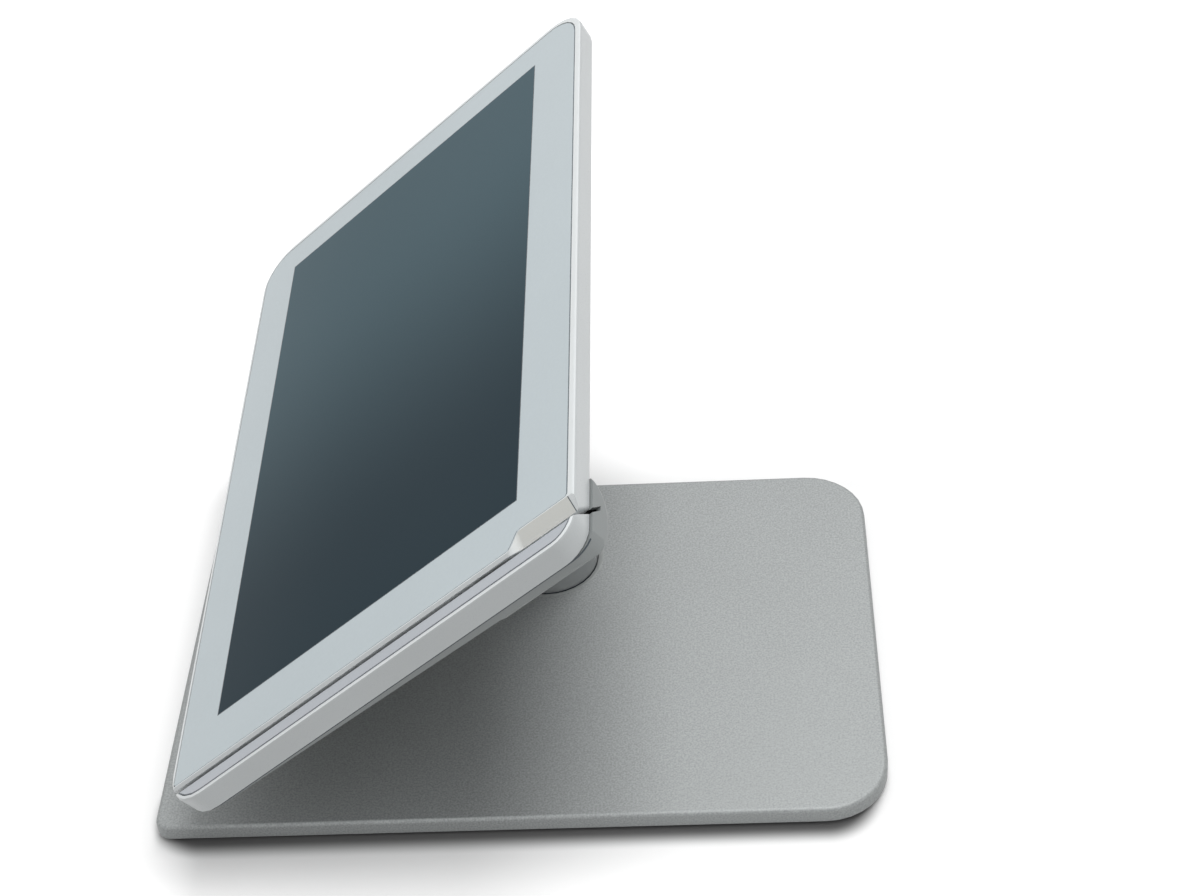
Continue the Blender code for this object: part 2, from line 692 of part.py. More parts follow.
def make_ballast_screws():
    screws = []
    for index, (x, y) in enumerate(ballast_screw_places()):
        screws.append(screw(
            f"ballast_screw_{index + 1}", x, y, BASE_BOTTOM, PLATE_SCREW_HEAD_RADIUS,
            PLATE_SCREW_HEAD_HEIGHT, PLATE_SCREW_RADIUS, BASE_BOTTOM + PLATE_SCREW_LENGTH))
    return screws


def make_base_pad():
    pad = flat_solid("base_pad", base_outline(PAD_INSET), 0, PAD_THICKNESS)
    opening = rod(
        "opening", POCKET_RADIUS + SIDE_GAP, -OVERRUN, PAD_THICKNESS + OVERRUN,
        SWIVEL_X, SWIVEL_Y)
    return cut(pad, opening)


# Neck group, about the swivel axis, with the display facing -Y


def foot_bottom():
    return BASE_TOP - WELL_DEPTH + SEAT_GAP


def picture_axes():
    """Directions up the screen and out of it, in the neck's axes."""
    up = Vector((0, math.sin(LEAN_FROM_VERTICAL), math.cos(LEAN_FROM_VERTICAL)))
    out = Vector((0, -math.cos(LEAN_FROM_VERTICAL), math.sin(LEAN_FROM_VERTICAL)))
    return up, out


def hinge_point():
    up, out = picture_axes()
    middle = Vector((0, -PICTURE_FORWARD, PICTURE_HEIGHT))
    return middle + up * HINGE_Y + out * HINGE_Z


def oval_ring(middle, direction, half_width, half_depth, power):
    """A section square to direction: an ellipse at power 2, and squarer above it."""
    across = Vector((1, 0, 0))
    depth_axis = direction.cross(across).normalized()
    ring = []
    for i in range(ROUND_SIDES):
        angle = 2 * math.pi * i / ROUND_SIDES
        c, s = math.cos(angle), math.sin(angle)
        x = math.copysign(abs(c) ** (2 / power), c) * half_width
        d = math.copysign(abs(s) ** (2 / power), s) * half_depth
        ring.append(middle + across * x + depth_axis * d)
    return ring


def make_neck():
    hinge = hinge_point()
    bottom = foot_bottom()
    start = Vector((0, 0, BASE_TOP))
    bend = Vector((0, 0, hinge.z * NECK_BEND_SHARE))
    upright = Vector((0, 0, 1))
    rings = [oval_ring(Vector((0, 0, bottom)), upright, FOOT_RADIUS, FOOT_RADIUS, 2)]
    barrel_half = BARREL_LENGTH / 2
    for share in NECK_RING_SHARES:
        middle = (
            start * (1 - share) ** 2 + bend * 2 * share * (1 - share) + hinge * share ** 2)
        slope = ((bend - start) * (1 - share) + (hinge - bend) * share).normalized()
        blend = share * share * (3 - 2 * share)
        half_width = FOOT_RADIUS + (barrel_half - FOOT_RADIUS) * blend
        half_depth = FOOT_RADIUS + (BARREL_RADIUS * NECK_TOP_SHARE - FOOT_RADIUS) * blend
        rings.append(oval_ring(middle, slope, half_width, half_depth, 2 + blend))
    neck = loft("neck", rings)
    barrel = rod(
        "barrel", BARREL_RADIUS, -barrel_half, barrel_half, hinge.y, hinge.z, turn=ALONG_X)
    join(neck, barrel)
    bore = rod(
        "bore", HINGE_SHAFT_RADIUS + SHAFT_FIT, -barrel_half - OVERRUN, barrel_half + OVERRUN,
        hinge.y, hinge.z, turn=ALONG_X)
    shaft_bore = rod(
        "shaft_bore", SHAFT_RADIUS + SIDE_GAP, -OVERRUN,
        bottom + SHAFT_RISE + SEAT_GAP)
    washer_seat = rod(
        "washer_seat", SLIP_WASHER_OUTER + SIDE_GAP, -OVERRUN,
        bottom + SLIP_WASHER_THICKNESS + SEAT_GAP)
    pin_hole = rod(
        "pin_hole", STOP_PIN_RADIUS + SIDE_GAP, -OVERRUN, bottom + STOP_PIN_LENGTH,
        0, -STOP_PIN_ORBIT, SMALL_SIDES)
    return cut(neck, bore, shaft_bore, washer_seat, pin_hole)


def make_slip_washer():
    bottom = foot_bottom()
    washer = rod(
        "slip_washer", SLIP_WASHER_OUTER, bottom, bottom + SLIP_WASHER_THICKNESS)
    return cut(washer, rod("hole", SHAFT_RADIUS + SIDE_GAP, -OVERRUN, BASE_TOP + OVERRUN))


def retainer_screw_places():
    turns = [2 * math.pi * (i + 0.5) / RETAINER_SCREW_COUNT for i in range(RETAINER_SCREW_COUNT)]
    return [
        (RETAINER_SCREW_ORBIT * math.cos(turn), RETAINER_SCREW_ORBIT * math.sin(turn))
        for turn in turns]


def retainer_levels():
    top = BASE_BOTTOM + POCKET_DEPTH - SEAT_GAP
    return top - RETAINER_THICKNESS, top


def make_swivel_shaft():
    retainer_top = retainer_levels()[1]
    low = retainer_top + SEAT_GAP
    shaft = rod("swivel_shaft", SHAFT_RADIUS, low, foot_bottom() + SHAFT_RISE)
    bore = rod("bore", SHAFT_BORE, -OVERRUN, BASE_TOP + SHAFT_RISE + OVERRUN)
    screw_holes = [
        rod("screw_hole", RETAINER_SCREW_RADIUS + SIDE_GAP, low - OVERRUN,
            low + RETAINER_SCREW_LENGTH, x, y, SMALL_SIDES)
        for x, y in retainer_screw_places()]
    return cut(shaft, bore, *screw_holes)


def make_retainer():
    low, high = retainer_levels()
    disc = rod("swivel_retainer", RETAINER_RADIUS, low, high)
    holes = [
        rod("screw_hole", RETAINER_SCREW_RADIUS + SIDE_GAP, low - OVERRUN, high + OVERRUN,
            x, y, SMALL_SIDES)
        for x, y in retainer_screw_places()]
    bore = rod("bore", SHAFT_BORE, low - OVERRUN, high + OVERRUN)
    return cut(disc, bore, *holes)


def make_retainer_screws():
    low = retainer_levels()[0]
    head_end = low - SEAT_GAP - RETAINER_SCREW_HEAD_HEIGHT
    return [
        screw(f"retainer_screw_{index + 1}", x, y, head_end, RETAINER_SCREW_HEAD,
              RETAINER_SCREW_HEAD_HEIGHT, RETAINER_SCREW_RADIUS,
              low + RETAINER_SCREW_LENGTH)
        for index, (x, y) in enumerate(retainer_screw_places())]


def make_stop_pin():
    floor = BASE_TOP - WELL_DEPTH - STOP_GROOVE_DEPTH
    top = foot_bottom() + STOP_PIN_LENGTH - SEAT_GAP
    return rod(
        "swivel_stop_pin", STOP_PIN_RADIUS, floor + SEAT_GAP, top, 0, -STOP_PIN_ORBIT,
        SMALL_SIDES)


def make_friction_washers():
    """One at each end of the barrel; they turn with the neck."""
    hinge = hinge_point()
    washers = []
    for name, side in (("left", -1), ("right", 1)):
        near = BARREL_LENGTH / 2 + SEAT_GAP
        far = near + FRICTION_WASHER_THICKNESS
        low, high = sorted((side * near, side * far))
        washer = rod(
            f"friction_washer_{name}", FRICTION_WASHER_RADIUS, low, high, hinge.y, hinge.z,
            turn=ALONG_X, sides=24)
        hole = rod(
            "hole", HINGE_SHAFT_RADIUS + SHAFT_FIT, low - OVERRUN, high + OVERRUN,
            hinge.y, hinge.z, turn=ALONG_X)
        washers.append(cut(washer, hole))
    return washers


# Hinge pieces on the display, in the display's axes


def ear_span(side):
    near = BARREL_LENGTH / 2 + 2 * SEAT_GAP + FRICTION_WASHER_THICKNESS
    far = near + EAR_THICKNESS
    low, high = sorted((side * near, side * far))
    return CASE_MIDDLE + low, CASE_MIDDLE + high


def bracket_screw_places():
    x = BRACKET_LENGTH / 2 - BRACKET_SCREW_INSET
    y = BRACKET_WIDTH / 2 - BRACKET_SCREW_INSET
    return [(CASE_MIDDLE + sx * x, HINGE_Y + sy * y) for sx in (-1, 1) for sy in (-1, 1)]


def make_bracket():
    plate = flat_solid(
        "hinge_bracket",
        centred_rectangle(
            BRACKET_LENGTH, BRACKET_WIDTH, BRACKET_CORNER, CASE_MIDDLE, HINGE_Y,
            CORNER_STEPS),
        BRACKET_BACK, BRACKET_FRONT)
    round_level(plate, BRACKET_BACK, BRACKET_EDGE_ROUND)
    plate_middle = (BRACKET_BACK + BRACKET_FRONT) / 2
    tip = arc(HINGE_Y, HINGE_Z, EAR_RADIUS, -math.pi + EAR_TAPER, -EAR_TAPER, ROUND_SIDES // 2)
    ear_outline = [(HINGE_Y - EAR_FOOT_HALF, plate_middle)] + tip
    ear_outline += [(HINGE_Y + EAR_FOOT_HALF, plate_middle)]
    ears = [prism_along_x("ear", ear_outline, *ear_span(side)) for side in (-1, 1)]
    join(plate, *ears)
    reach = BARREL_LENGTH
    shaft_hole = rod(
        "shaft_hole", HINGE_SHAFT_RADIUS + SHAFT_FIT, CASE_MIDDLE - reach, CASE_MIDDLE + reach,
        HINGE_Y, HINGE_Z, turn=ALONG_X)
    screw_holes = [
        rod("screw_hole", BRACKET_SCREW_RADIUS + SIDE_GAP, BRACKET_BACK - OVERRUN,
            BRACKET_FRONT + OVERRUN, x, y, SMALL_SIDES)
        for x, y in bracket_screw_places()]
    return cut(plate, shaft_hole, *screw_holes)


def nut_span(side):
    low, high = ear_span(side)
    outer = high if side > 0 else low
    near = outer + side * SEAT_GAP
    far = near + side * HINGE_NUT_HEIGHT
    return min(near, far), max(near, far)


def make_hinge_shaft():
    low = nut_span(-1)[0] - HINGE_THREAD_SPARE
    high = nut_span(1)[1] + HINGE_THREAD_SPARE
    return rod("hinge_shaft", HINGE_SHAFT_RADIUS, low, high, HINGE_Y, HINGE_Z, turn=ALONG_X)


def make_hinge_nuts():
    nuts = []
    for name, side in (("left", -1), ("right", 1)):
        low, high = nut_span(side)
        nut = rod(
            f"hinge_nut_{name}", HINGE_NUT_RADIUS, low, high, HINGE_Y, HINGE_Z, sides=6,
            turn=ALONG_X)
        hole = rod(
            "hole", HINGE_SHAFT_RADIUS + SIDE_GAP, low - OVERRUN, high + OVERRUN,
            HINGE_Y, HINGE_Z, turn=ALONG_X)
        nuts.append(cut(nut, hole))
    return nuts


def make_hinge_caps():
    caps = []
    for name, side in (("left", -1), ("right", 1)):
        low, high = ear_span(side)
        near = (high if side > 0 else low) + side * SEAT_GAP
        far = near + side * CAP_HEIGHT
        cap = rod(
            f"hinge_cap_{name}", CAP_RADIUS, min(near, far), max(near, far), HINGE_Y, HINGE_Z,
            turn=ALONG_X)
        round_edges(
            cap, lambda p, q, x=far: abs(p.x - x) < SEAT_GAP and abs(q.x - x) < SEAT_GAP,
            CAP_WALL, 2)
        inner = far - side * CAP_WALL
        outside = near - side * OVERRUN
        hollow = rod(
            "hollow", CAP_RADIUS - CAP_WALL, min(outside, inner), max(outside, inner),
            HINGE_Y, HINGE_Z, turn=ALONG_X, sides=24)
        caps.append(cut(cap, hollow))
    return caps


def chassis_boss_end(y):
    """The chassis bosses stop just short of the inner face of the rear shell."""
    return shell_back(y - CHASSIS_BOSS_RADIUS) + SHELL_WALL + SEAT_GAP


def make_bracket_screws():
    head_end = BRACKET_BACK - SEAT_GAP - BRACKET_SCREW_HEAD_HEIGHT
    tip = CHASSIS_BACK - BOARD_STANDOFF
    return [
        screw(f"bracket_screw_{index + 1}", x, y, head_end, BRACKET_SCREW_HEAD,
              BRACKET_SCREW_HEAD_HEIGHT, BRACKET_SCREW_RADIUS, tip)
        for index, (x, y) in enumerate(bracket_screw_places())]


# Front frame, glass and card slot


def lead_in_sections():
    """Width, drop and height on the screen of the slot's taken-off edge as it widens."""
    sections = []
    for step in range(LEAD_IN_STEPS + 1):
        share = step / LEAD_IN_STEPS
        eased = share * share * (3 - 2 * share)
        sections.append((
            BEVEL_WIDTH + (LEAD_IN_WIDTH - BEVEL_WIDTH) * eased,
            BEVEL_DROP + (LEAD_IN_DROP - BEVEL_DROP) * eased,
            CASE_TOP - LEAD_IN_START - LEAD_IN_BLEND * (1 - share)))
    return sections


def glass_outline(grow):
    """The cover glass, grown by a clearance. It steps in beside the slot's lead-in."""
    right = SLOT_INNER_MOUTH - BEVEL_WIDTH - BEVEL_MARGIN + grow
    stepped = SLOT_INNER_MOUTH - LEAD_IN_WIDTH - BEVEL_MARGIN + grow
    top = CASE_TOP - GLASS_RIM_TOP + grow
    bottom = CASE_BOTTOM + GLASS_RIM_BOTTOM - grow
    left = CASE_LEFT + GLASS_RIM_SIDE - grow
    corner = CASE_CORNER - GLASS_RIM_SIDE + grow
    small = GLASS_SMALL_CORNER
    quarter = math.pi / 2
    points = arc(right - small, bottom + small, small, -quarter, 0, 3)
    points += [
        (SLOT_INNER_MOUTH - width - BEVEL_MARGIN + grow, y + grow)
        for width, drop, y in lead_in_sections()]
    points += arc(stepped - small, top - small, small, 0, quarter, 3)
    points += arc(left + corner, top - corner, corner, quarter, 2 * quarter)
    points += arc(left + corner, bottom + corner, corner, 2 * quarter, 3 * quarter)
    return points


def corner_cutter_section(width, drop, y):
    """A triangle that takes the edge off the inner side of the slot."""
    first = Vector((SLOT_INNER_MOUTH - width, y, FACE))
    second = Vector((slot_inner(FACE - drop), y, FACE - drop))
    along = (second - first).normalized() * OVERRUN
    outside = Vector((SLOT_OUTER_MOUTH + OVERRUN, y, FACE + OVERRUN))
    return [first - along, second + along, outside]


def slot_side_cutter(mouth_at):
    """Everything to the right of one side of the slot."""
    low, high = FRAME_BACK - OVERRUN, FACE + OVERRUN
    far = CASE_RIGHT + OVERRUN
    outline = [(mouth_at(low), low), (far, low), (far, high), (mouth_at(high), high)]
    return prism_along_y(
        "slot_side", outline, CASE_BOTTOM - OVERRUN, CASE_TOP + OVERRUN)


def shell_screw_places():
    left = CASE_LEFT + SHELL_SCREW_INSET_SIDE
    right = CASE_RIGHT - SHELL_SCREW_INSET_RIGHT
    low = CASE_BOTTOM + SHELL_SCREW_INSET_END
    high = CASE_TOP - SHELL_SCREW_INSET_END
    return [(left, low), (left, high), (right, low), (right, high)]


def rail_screw_places():
    return [(CASE_RIGHT - RAIL_SCREW_INSET, y) for y in (RAIL_SCREW_LOW, RAIL_SCREW_HIGH)]


def front_blank(name):
    """The whole front of the case, whose top side leans in toward the back."""
    outlines = ((FRAME_BACK, FRAME_TOP_DRAFT), (FACE, 0))
    blank = loft(name, [
        [(x, y, z) for x, y in case_outline(0, 0, 0, top)] for z, top in outlines])
    return round_level(blank, FACE, FRAME_EDGE_ROUND)


def screw_drills(places):
    drill_end = FRAME_BACK + SHELL_SCREW_ENGAGEMENT + SEAT_GAP
    return [
        rod("drill", SHELL_SCREW_RADIUS + SIDE_GAP, FRAME_BACK - OVERRUN, drill_end, x, y,
            SMALL_SIDES)
        for x, y in places]


def make_front_frame():
    frame = front_blank("front_frame")
    sections = [
        (BEVEL_WIDTH, BEVEL_DROP, CASE_BOTTOM - OVERRUN), *lead_in_sections(),
        (LEAD_IN_WIDTH, LEAD_IN_DROP, CASE_TOP + OVERRUN)]
    edge_cutter = loft("edge_cutter", [corner_cutter_section(*s) for s in sections])
    recess = flat_solid("recess", glass_outline(SIDE_GAP), LEDGE_FRONT, FACE + OVERRUN)
    ledge = LEDGE_WIDTH
    opening = flat_solid(
        "opening",
        rounded_rectangle(
            CASE_LEFT + GLASS_RIM_SIDE + ledge, SLOT_INNER_MOUTH - LEAD_IN_WIDTH - BEVEL_MARGIN,
            CASE_BOTTOM + GLASS_RIM_BOTTOM + ledge, CASE_TOP - GLASS_RIM_TOP - ledge,
            (LEDGE_CORNER,) * 4),
        FRAME_BACK - OVERRUN, FACE + OVERRUN)
    slanted_wall = FRAME_WALL / math.cos(SLOT_ANGLE)
    cavity_rings = []
    for z in (FRAME_BACK - OVERRUN, LEDGE_BACK):
        right = CASE_RIGHT - slot_inner(z) + slanted_wall
        outline = rounded_rectangle(
            CASE_LEFT + FRAME_WALL, CASE_RIGHT - right, CASE_BOTTOM + FRAME_WALL,
            CASE_TOP - FRAME_TOP_DRAFT - FRAME_WALL,
            (FRAME_WALL, FRAME_WALL, CASE_CORNER - FRAME_WALL, CASE_CORNER - FRAME_WALL))
        cavity_rings.append([(x, y, z) for x, y in outline])
    cut(frame, slot_side_cutter(slot_inner), edge_cutter, recess, opening,
        loft("cavity", cavity_rings))
    bosses = [
        rod("boss", FRAME_BOSS_RADIUS, FRAME_BACK, LEDGE_BACK + LEDGE_THICKNESS / 2, x, y,
            SMALL_SIDES)
        for x, y in shell_screw_places()]
    join(frame, *bosses)
    return cut(frame, *screw_drills(shell_screw_places()))


def make_glass():
    return flat_solid("touch_glass", glass_outline(0), GLASS_BACK, FACE)


def head_frame():
    """Middle of the head's window on the outer side of the slot, and its two directions."""
    up_slot = Vector((math.sin(SLOT_ANGLE), 0, math.cos(SLOT_ANGLE)))
    away = Vector((math.cos(SLOT_ANGLE), 0, -math.sin(SLOT_ANGLE)))
    floor = Vector((slot_outer(SLOT_FLOOR), HEAD_Y, SLOT_FLOOR))
    return floor + up_slot * HEAD_ABOVE_FLOOR, up_slot, away


def slanted_block(name, half_length, half_width, near, far):
    """A box lying square to the slot: its length runs along the slot."""
    middle, up_slot, away = head_frame()
    solid = block(name, (-half_width, -half_length, near), (half_width, half_length, far))
    across = Vector((0, 1, 0))
    matrix = Matrix.Identity(4)
    for column, axis in enumerate((up_slot, across, away)):
        for row in range(3):
            matrix[row][column] = axis[row]
    matrix.translation = middle
    solid.data.transform(matrix)
    if matrix.to_3x3().determinant() < 0:
        solid.data.flip_normals()
    return solid


def holder_half_sizes():
    half_length = HEAD_LENGTH / 2 + SIDE_GAP + HOLDER_END_WALL
    half_width = HEAD_WIDTH / 2 + SIDE_GAP + HOLDER_WALL
    return half_length, half_width


def spring_depths():
    near = HEAD_DEPTH - HEAD_PROUD + HEAD_TRAVEL + SEAT_GAP
    return near, near + HEAD_SPRING_THICKNESS


def holder_back():
    return spring_depths()[1] + SEAT_GAP + HOLDER_WALL


def holder_pocket():
    half_length, half_width = holder_half_sizes()
    return slanted_block(
        "holder_pocket", half_length + SIDE_GAP, half_width + SIDE_GAP, -SLOT_WIDTH / 2,
        holder_back() + SIDE_GAP)


def strip_blank(name, rim, left, low, high):
    blank = flat_solid(name, even_case_outline(rim), low, high)
    return cut(blank, block(
        "left_part", (CASE_LEFT - OVERRUN, CASE_BOTTOM - OVERRUN, low - OVERRUN),
        (left, CASE_TOP + OVERRUN, high + OVERRUN)))


def make_reader_rail():
    rail = keep_inside(front_blank("reader_rail"), slot_side_cutter(slot_outer))
    strip_floor = FACE - STRIP_THICKNESS - SEAT_GAP
    recess = strip_blank(
        "recess", STRIP_RIM - SIDE_GAP / 2, slot_outer(FACE) - OVERRUN, strip_floor,
        FACE + OVERRUN)
    return cut(rail, recess, holder_pocket(), *screw_drills(rail_screw_places()))


def make_rail_strip():
    return strip_blank(
        "rail_strip", STRIP_RIM + SIDE_GAP / 2, SLOT_OUTER_MOUTH + STRIP_SETBACK,
        FACE - STRIP_THICKNESS, FACE)


def slot_prism(name, start, end):
    """The empty space of the slot below the frame."""
    high = FRAME_BACK
    outline = [
        (slot_inner(high), high), (slot_inner(SLOT_FLOOR), SLOT_FLOOR),
        (slot_outer(SLOT_FLOOR), SLOT_FLOOR), (slot_outer(high), high)]
    return prism_along_y(name, outline, start, end)


def make_reader_body():
    left = slot_inner(SLOT_FLOOR) - READER_LEFT_WALL
    right = slot_outer(SHELL_FRONT) + READER_RIGHT_WALL
    floor = SLOT_FLOOR - READER_FLOOR_WALL
    shoulder = (SHELL_FRONT + floor) / 2
    inner_right = slot_outer(SLOT_FLOOR) + READER_RIGHT_WALL
    outline = [
        (left, SHELL_FRONT), (left, floor), (inner_right, floor), (right, shoulder),
        (right, SHELL_FRONT)]
    start = CASE_BOTTOM + READER_END_BOTTOM
    end = CASE_TOP - READER_END_TOP
    body = prism_along_y("reader_body", outline, start, end)
    feet = [
        block("foot", (left, y - READER_FOOT_WIDTH / 2, floor - OVERRUN),
              (inner_right, y + READER_FOOT_WIDTH / 2, floor + READER_FLOOR_WALL / 2))
        for y in (READER_FOOT_LOW, READER_FOOT_HIGH)]
    join(body, *feet)
    room = shell_form("room", SHELL_WALL + SIDE_GAP, SHELL_FRONT + OVERRUN)
    join(room, bulge_form("bulge_room", SHELL_WALL + SIDE_GAP))
    keep_inside(body, room)
    return cut(body, slot_prism("groove", start - OVERRUN, end + OVERRUN), holder_pocket())


def make_head_holder():
    half_length, half_width = holder_half_sizes()
    holder = slanted_block("head_holder", half_length, half_width, SEAT_GAP, holder_back())
    hollow = slanted_block(
        "hollow", HEAD_LENGTH / 2 + SIDE_GAP, HEAD_WIDTH / 2 + SIDE_GAP, -OVERRUN,
        spring_depths()[1] + SEAT_GAP)
    return cut(holder, hollow)


def make_reader_head():
    head = slanted_block(
        "reader_head", HEAD_LENGTH / 2, HEAD_WIDTH / 2, -HEAD_PROUD, HEAD_DEPTH - HEAD_PROUD)
    middle, _, away = head_frame()

    def on_face(first, second):
        depths = [(point - middle).dot(away) for point in (first, second)]
        along_slot = abs(first.y - second.y) < SEAT_GAP
        return max(depths) < 0 and along_slot
    return round_edges(head, on_face, HEAD_ROUND, 3)


def make_head_spring():
    near, far = spring_depths()
    return slanted_block("head_spring", HEAD_LENGTH / 2, HEAD_WIDTH / 2, near, far)


# Panel, chassis and boards


def panel_edges(grow):
    half = PICTURE_WIDTH / 2 + PANEL_MARGIN_SIDE + grow
    low = -PICTURE_HEIGHT_ALONG / 2 - PANEL_MARGIN_BOTTOM - grow
    high = PICTURE_HEIGHT_ALONG / 2 + PANEL_MARGIN_TOP + grow
    return half, low, high


def make_panel():
    half, low, high = panel_edges(0)
    return block("lcd_panel", (-half, low, PANEL_BACK), (half, high, PANEL_FRONT))


def board_places(x, y, length, width):
    dx = length / 2 - STANDOFF_INSET
    dy = width / 2 - STANDOFF_INSET
    return [(x + sx * dx, y + sy * dy) for sx in (-1, 1) for sy in (-1, 1)]


def make_chassis():
    outline = rounded_rectangle(
        CASE_LEFT + CHASSIS_INSET_SIDE, CASE_RIGHT - CHASSIS_INSET_RIGHT,
        CASE_BOTTOM + CHASSIS_INSET_BOTTOM, CASE_TOP - CHASSIS_INSET_TOP,
        (CHASSIS_CORNER,) * 4)
    chassis = flat_solid("inner_chassis", outline, CHASSIS_BACK, CHASSIS_FRONT)
    half, low, high = panel_edges(SIDE_GAP)
    panel_seat = block(
        "panel_seat", (-half, low, PANEL_BACK - SEAT_GAP), (half, high, CHASSIS_FRONT + OVERRUN))
    cut(chassis, panel_seat)
    root = CHASSIS_BACK + CHASSIS_THICKNESS / 2
    end = CHASSIS_BACK - BOARD_STANDOFF
    bosses = [
        rod("boss", CHASSIS_BOSS_RADIUS, chassis_boss_end(y), root, x, y, SMALL_SIDES)
        for x, y in bracket_screw_places()]
    boards = (
        (MAIN_BOARD_X, MAIN_BOARD_Y, MAIN_BOARD_LENGTH, MAIN_BOARD_WIDTH),
        (READER_BOARD_X, READER_BOARD_Y, READER_BOARD_WIDTH, READER_BOARD_LENGTH),
        (SOCKET_X, SOCKET_Y, SOCKET_BOARD_LENGTH, SOCKET_BOARD_WIDTH))
    for board in boards:
        for x, y in board_places(*board):
            bosses.append(rod("boss", STANDOFF_RADIUS, end, root, x, y, SMALL_SIDES - 4))
    bosses.append(rod(
        "boss", SWITCH_SIDE, CHASSIS_BACK - SWITCH_STANDOFF, root, BUTTON_X, BUTTON_Y,
        SMALL_SIDES))
    join(chassis, *bosses)
    drills = [
        rod("drill", BRACKET_SCREW_RADIUS + SIDE_GAP, chassis_boss_end(y) - OVERRUN,
            CHASSIS_BACK - BOARD_STANDOFF + SEAT_GAP, x, y, SMALL_SIDES)
        for x, y in bracket_screw_places()]
    return cut(chassis, *drills)


def board(name, x, y, length, width):
    front = CHASSIS_BACK - BOARD_STANDOFF - SEAT_GAP
    return block(
        name, (x - length / 2, y - width / 2, front - BOARD_THICKNESS),
        (x + length / 2, y + width / 2, front))


def board_back():
    return CHASSIS_BACK - BOARD_STANDOFF - SEAT_GAP - BOARD_THICKNESS


def make_boards():
    return [
        board("main_board", MAIN_BOARD_X, MAIN_BOARD_Y, MAIN_BOARD_LENGTH, MAIN_BOARD_WIDTH),
        board("reader_board", READER_BOARD_X, READER_BOARD_Y, READER_BOARD_WIDTH,
              READER_BOARD_LENGTH),
        board("socket_board", SOCKET_X, SOCKET_Y, SOCKET_BOARD_LENGTH, SOCKET_BOARD_WIDTH)]


def make_shield_can():
    front = board_back() - SEAT_GAP
    return block(
        "shield_can",
        (MAIN_BOARD_X - SHIELD_LENGTH / 2, MAIN_BOARD_Y - SHIELD_WIDTH / 2,
         front - SHIELD_HEIGHT),
        (MAIN_BOARD_X + SHIELD_LENGTH / 2, MAIN_BOARD_Y + SHIELD_WIDTH / 2, front))


def make_heat_spreader():
    front = board_back() - 2 * SEAT_GAP - SHIELD_HEIGHT
    return block(
        "heat_spreader",
        (MAIN_BOARD_X - SPREADER_LENGTH / 2, MAIN_BOARD_Y - SPREADER_WIDTH / 2,
         front - SPREADER_THICKNESS),
        (MAIN_BOARD_X + SPREADER_LENGTH / 2, MAIN_BOARD_Y + SPREADER_WIDTH / 2, front))


def make_speakers():
    front = CHASSIS_BACK - SEAT_GAP
    speakers = []
    for name, x in (("left", -SPEAKER_X), ("right", SPEAKER_X)):
        speakers.append(block(
            f"speaker_{name}",
            (x - SPEAKER_LENGTH / 2, SPEAKER_Y - SPEAKER_WIDTH / 2, front - SPEAKER_DEPTH),
            (x + SPEAKER_LENGTH / 2, SPEAKER_Y + SPEAKER_WIDTH / 2, front)))
    return speakers


def make_socket():
    front = board_back() - SEAT_GAP
    back = shell_back(SOCKET_Y) + SOCKET_SHY
    socket = flat_solid(
        "supply_socket",
        centred_rectangle(SOCKET_LENGTH, SOCKET_WIDTH, SOCKET_CORNER, SOCKET_X, SOCKET_Y),
        back, front)
    hollow = flat_solid(
        "hollow",
        centred_rectangle(
            SOCKET_LENGTH - 2 * SOCKET_WALL, SOCKET_WIDTH - 2 * SOCKET_WALL,
            SOCKET_CORNER - SOCKET_WALL, SOCKET_X, SOCKET_Y),
        back - OVERRUN, front - SOCKET_FLOOR)
    return cut(socket, hollow)


def switch_board_levels():
    front = CHASSIS_BACK - SWITCH_STANDOFF - SEAT_GAP
    back = front - BOARD_THICKNESS
    return front, back, back - SWITCH_HEIGHT


def make_switch_board():
    front, back, switch_end = switch_board_levels()
    half = SWITCH_BOARD_SIDE / 2
    base = block(
        "switch_board", (BUTTON_X - half, BUTTON_Y - half, back),
        (BUTTON_X + half, BUTTON_Y + half, front))
    half = SWITCH_SIDE / 2
    middle = (front + back) / 2
    switch = block(
        "switch", (BUTTON_X - half, BUTTON_Y - half, switch_end),
        (BUTTON_X + half, BUTTON_Y + half, middle))
    return join(base, switch)


def make_power_button():
    back = shell_back(BUTTON_Y)
    flange_back = back + SHELL_WALL + 1.5 * SEAT_GAP
    flange_front = flange_back + BUTTON_FLANGE_THICKNESS
    stem_end = switch_board_levels()[2] - SEAT_GAP - BUTTON_TRAVEL
    flange_middle = (flange_back + flange_front) / 2
    button = rod(
        "power_button", BUTTON_RADIUS, back - BUTTON_PROUD, flange_middle, BUTTON_X, BUTTON_Y)
    round_level(button, back - BUTTON_PROUD, BUTTON_ROUND)
    flange = rod(
        "flange", BUTTON_RADIUS + BUTTON_FLANGE, flange_back, flange_front, BUTTON_X, BUTTON_Y)
    stem = rod(
        "stem", BUTTON_STEM_RADIUS, flange_middle, stem_end, BUTTON_X, BUTTON_Y, SMALL_SIDES)
    return join(button, flange, stem)


# Rear shell


def shell_back(y):
    """Depth of the rear face at a height on the screen."""
    return FACE - SHELL_DEPTH - SHELL_WEDGE * y


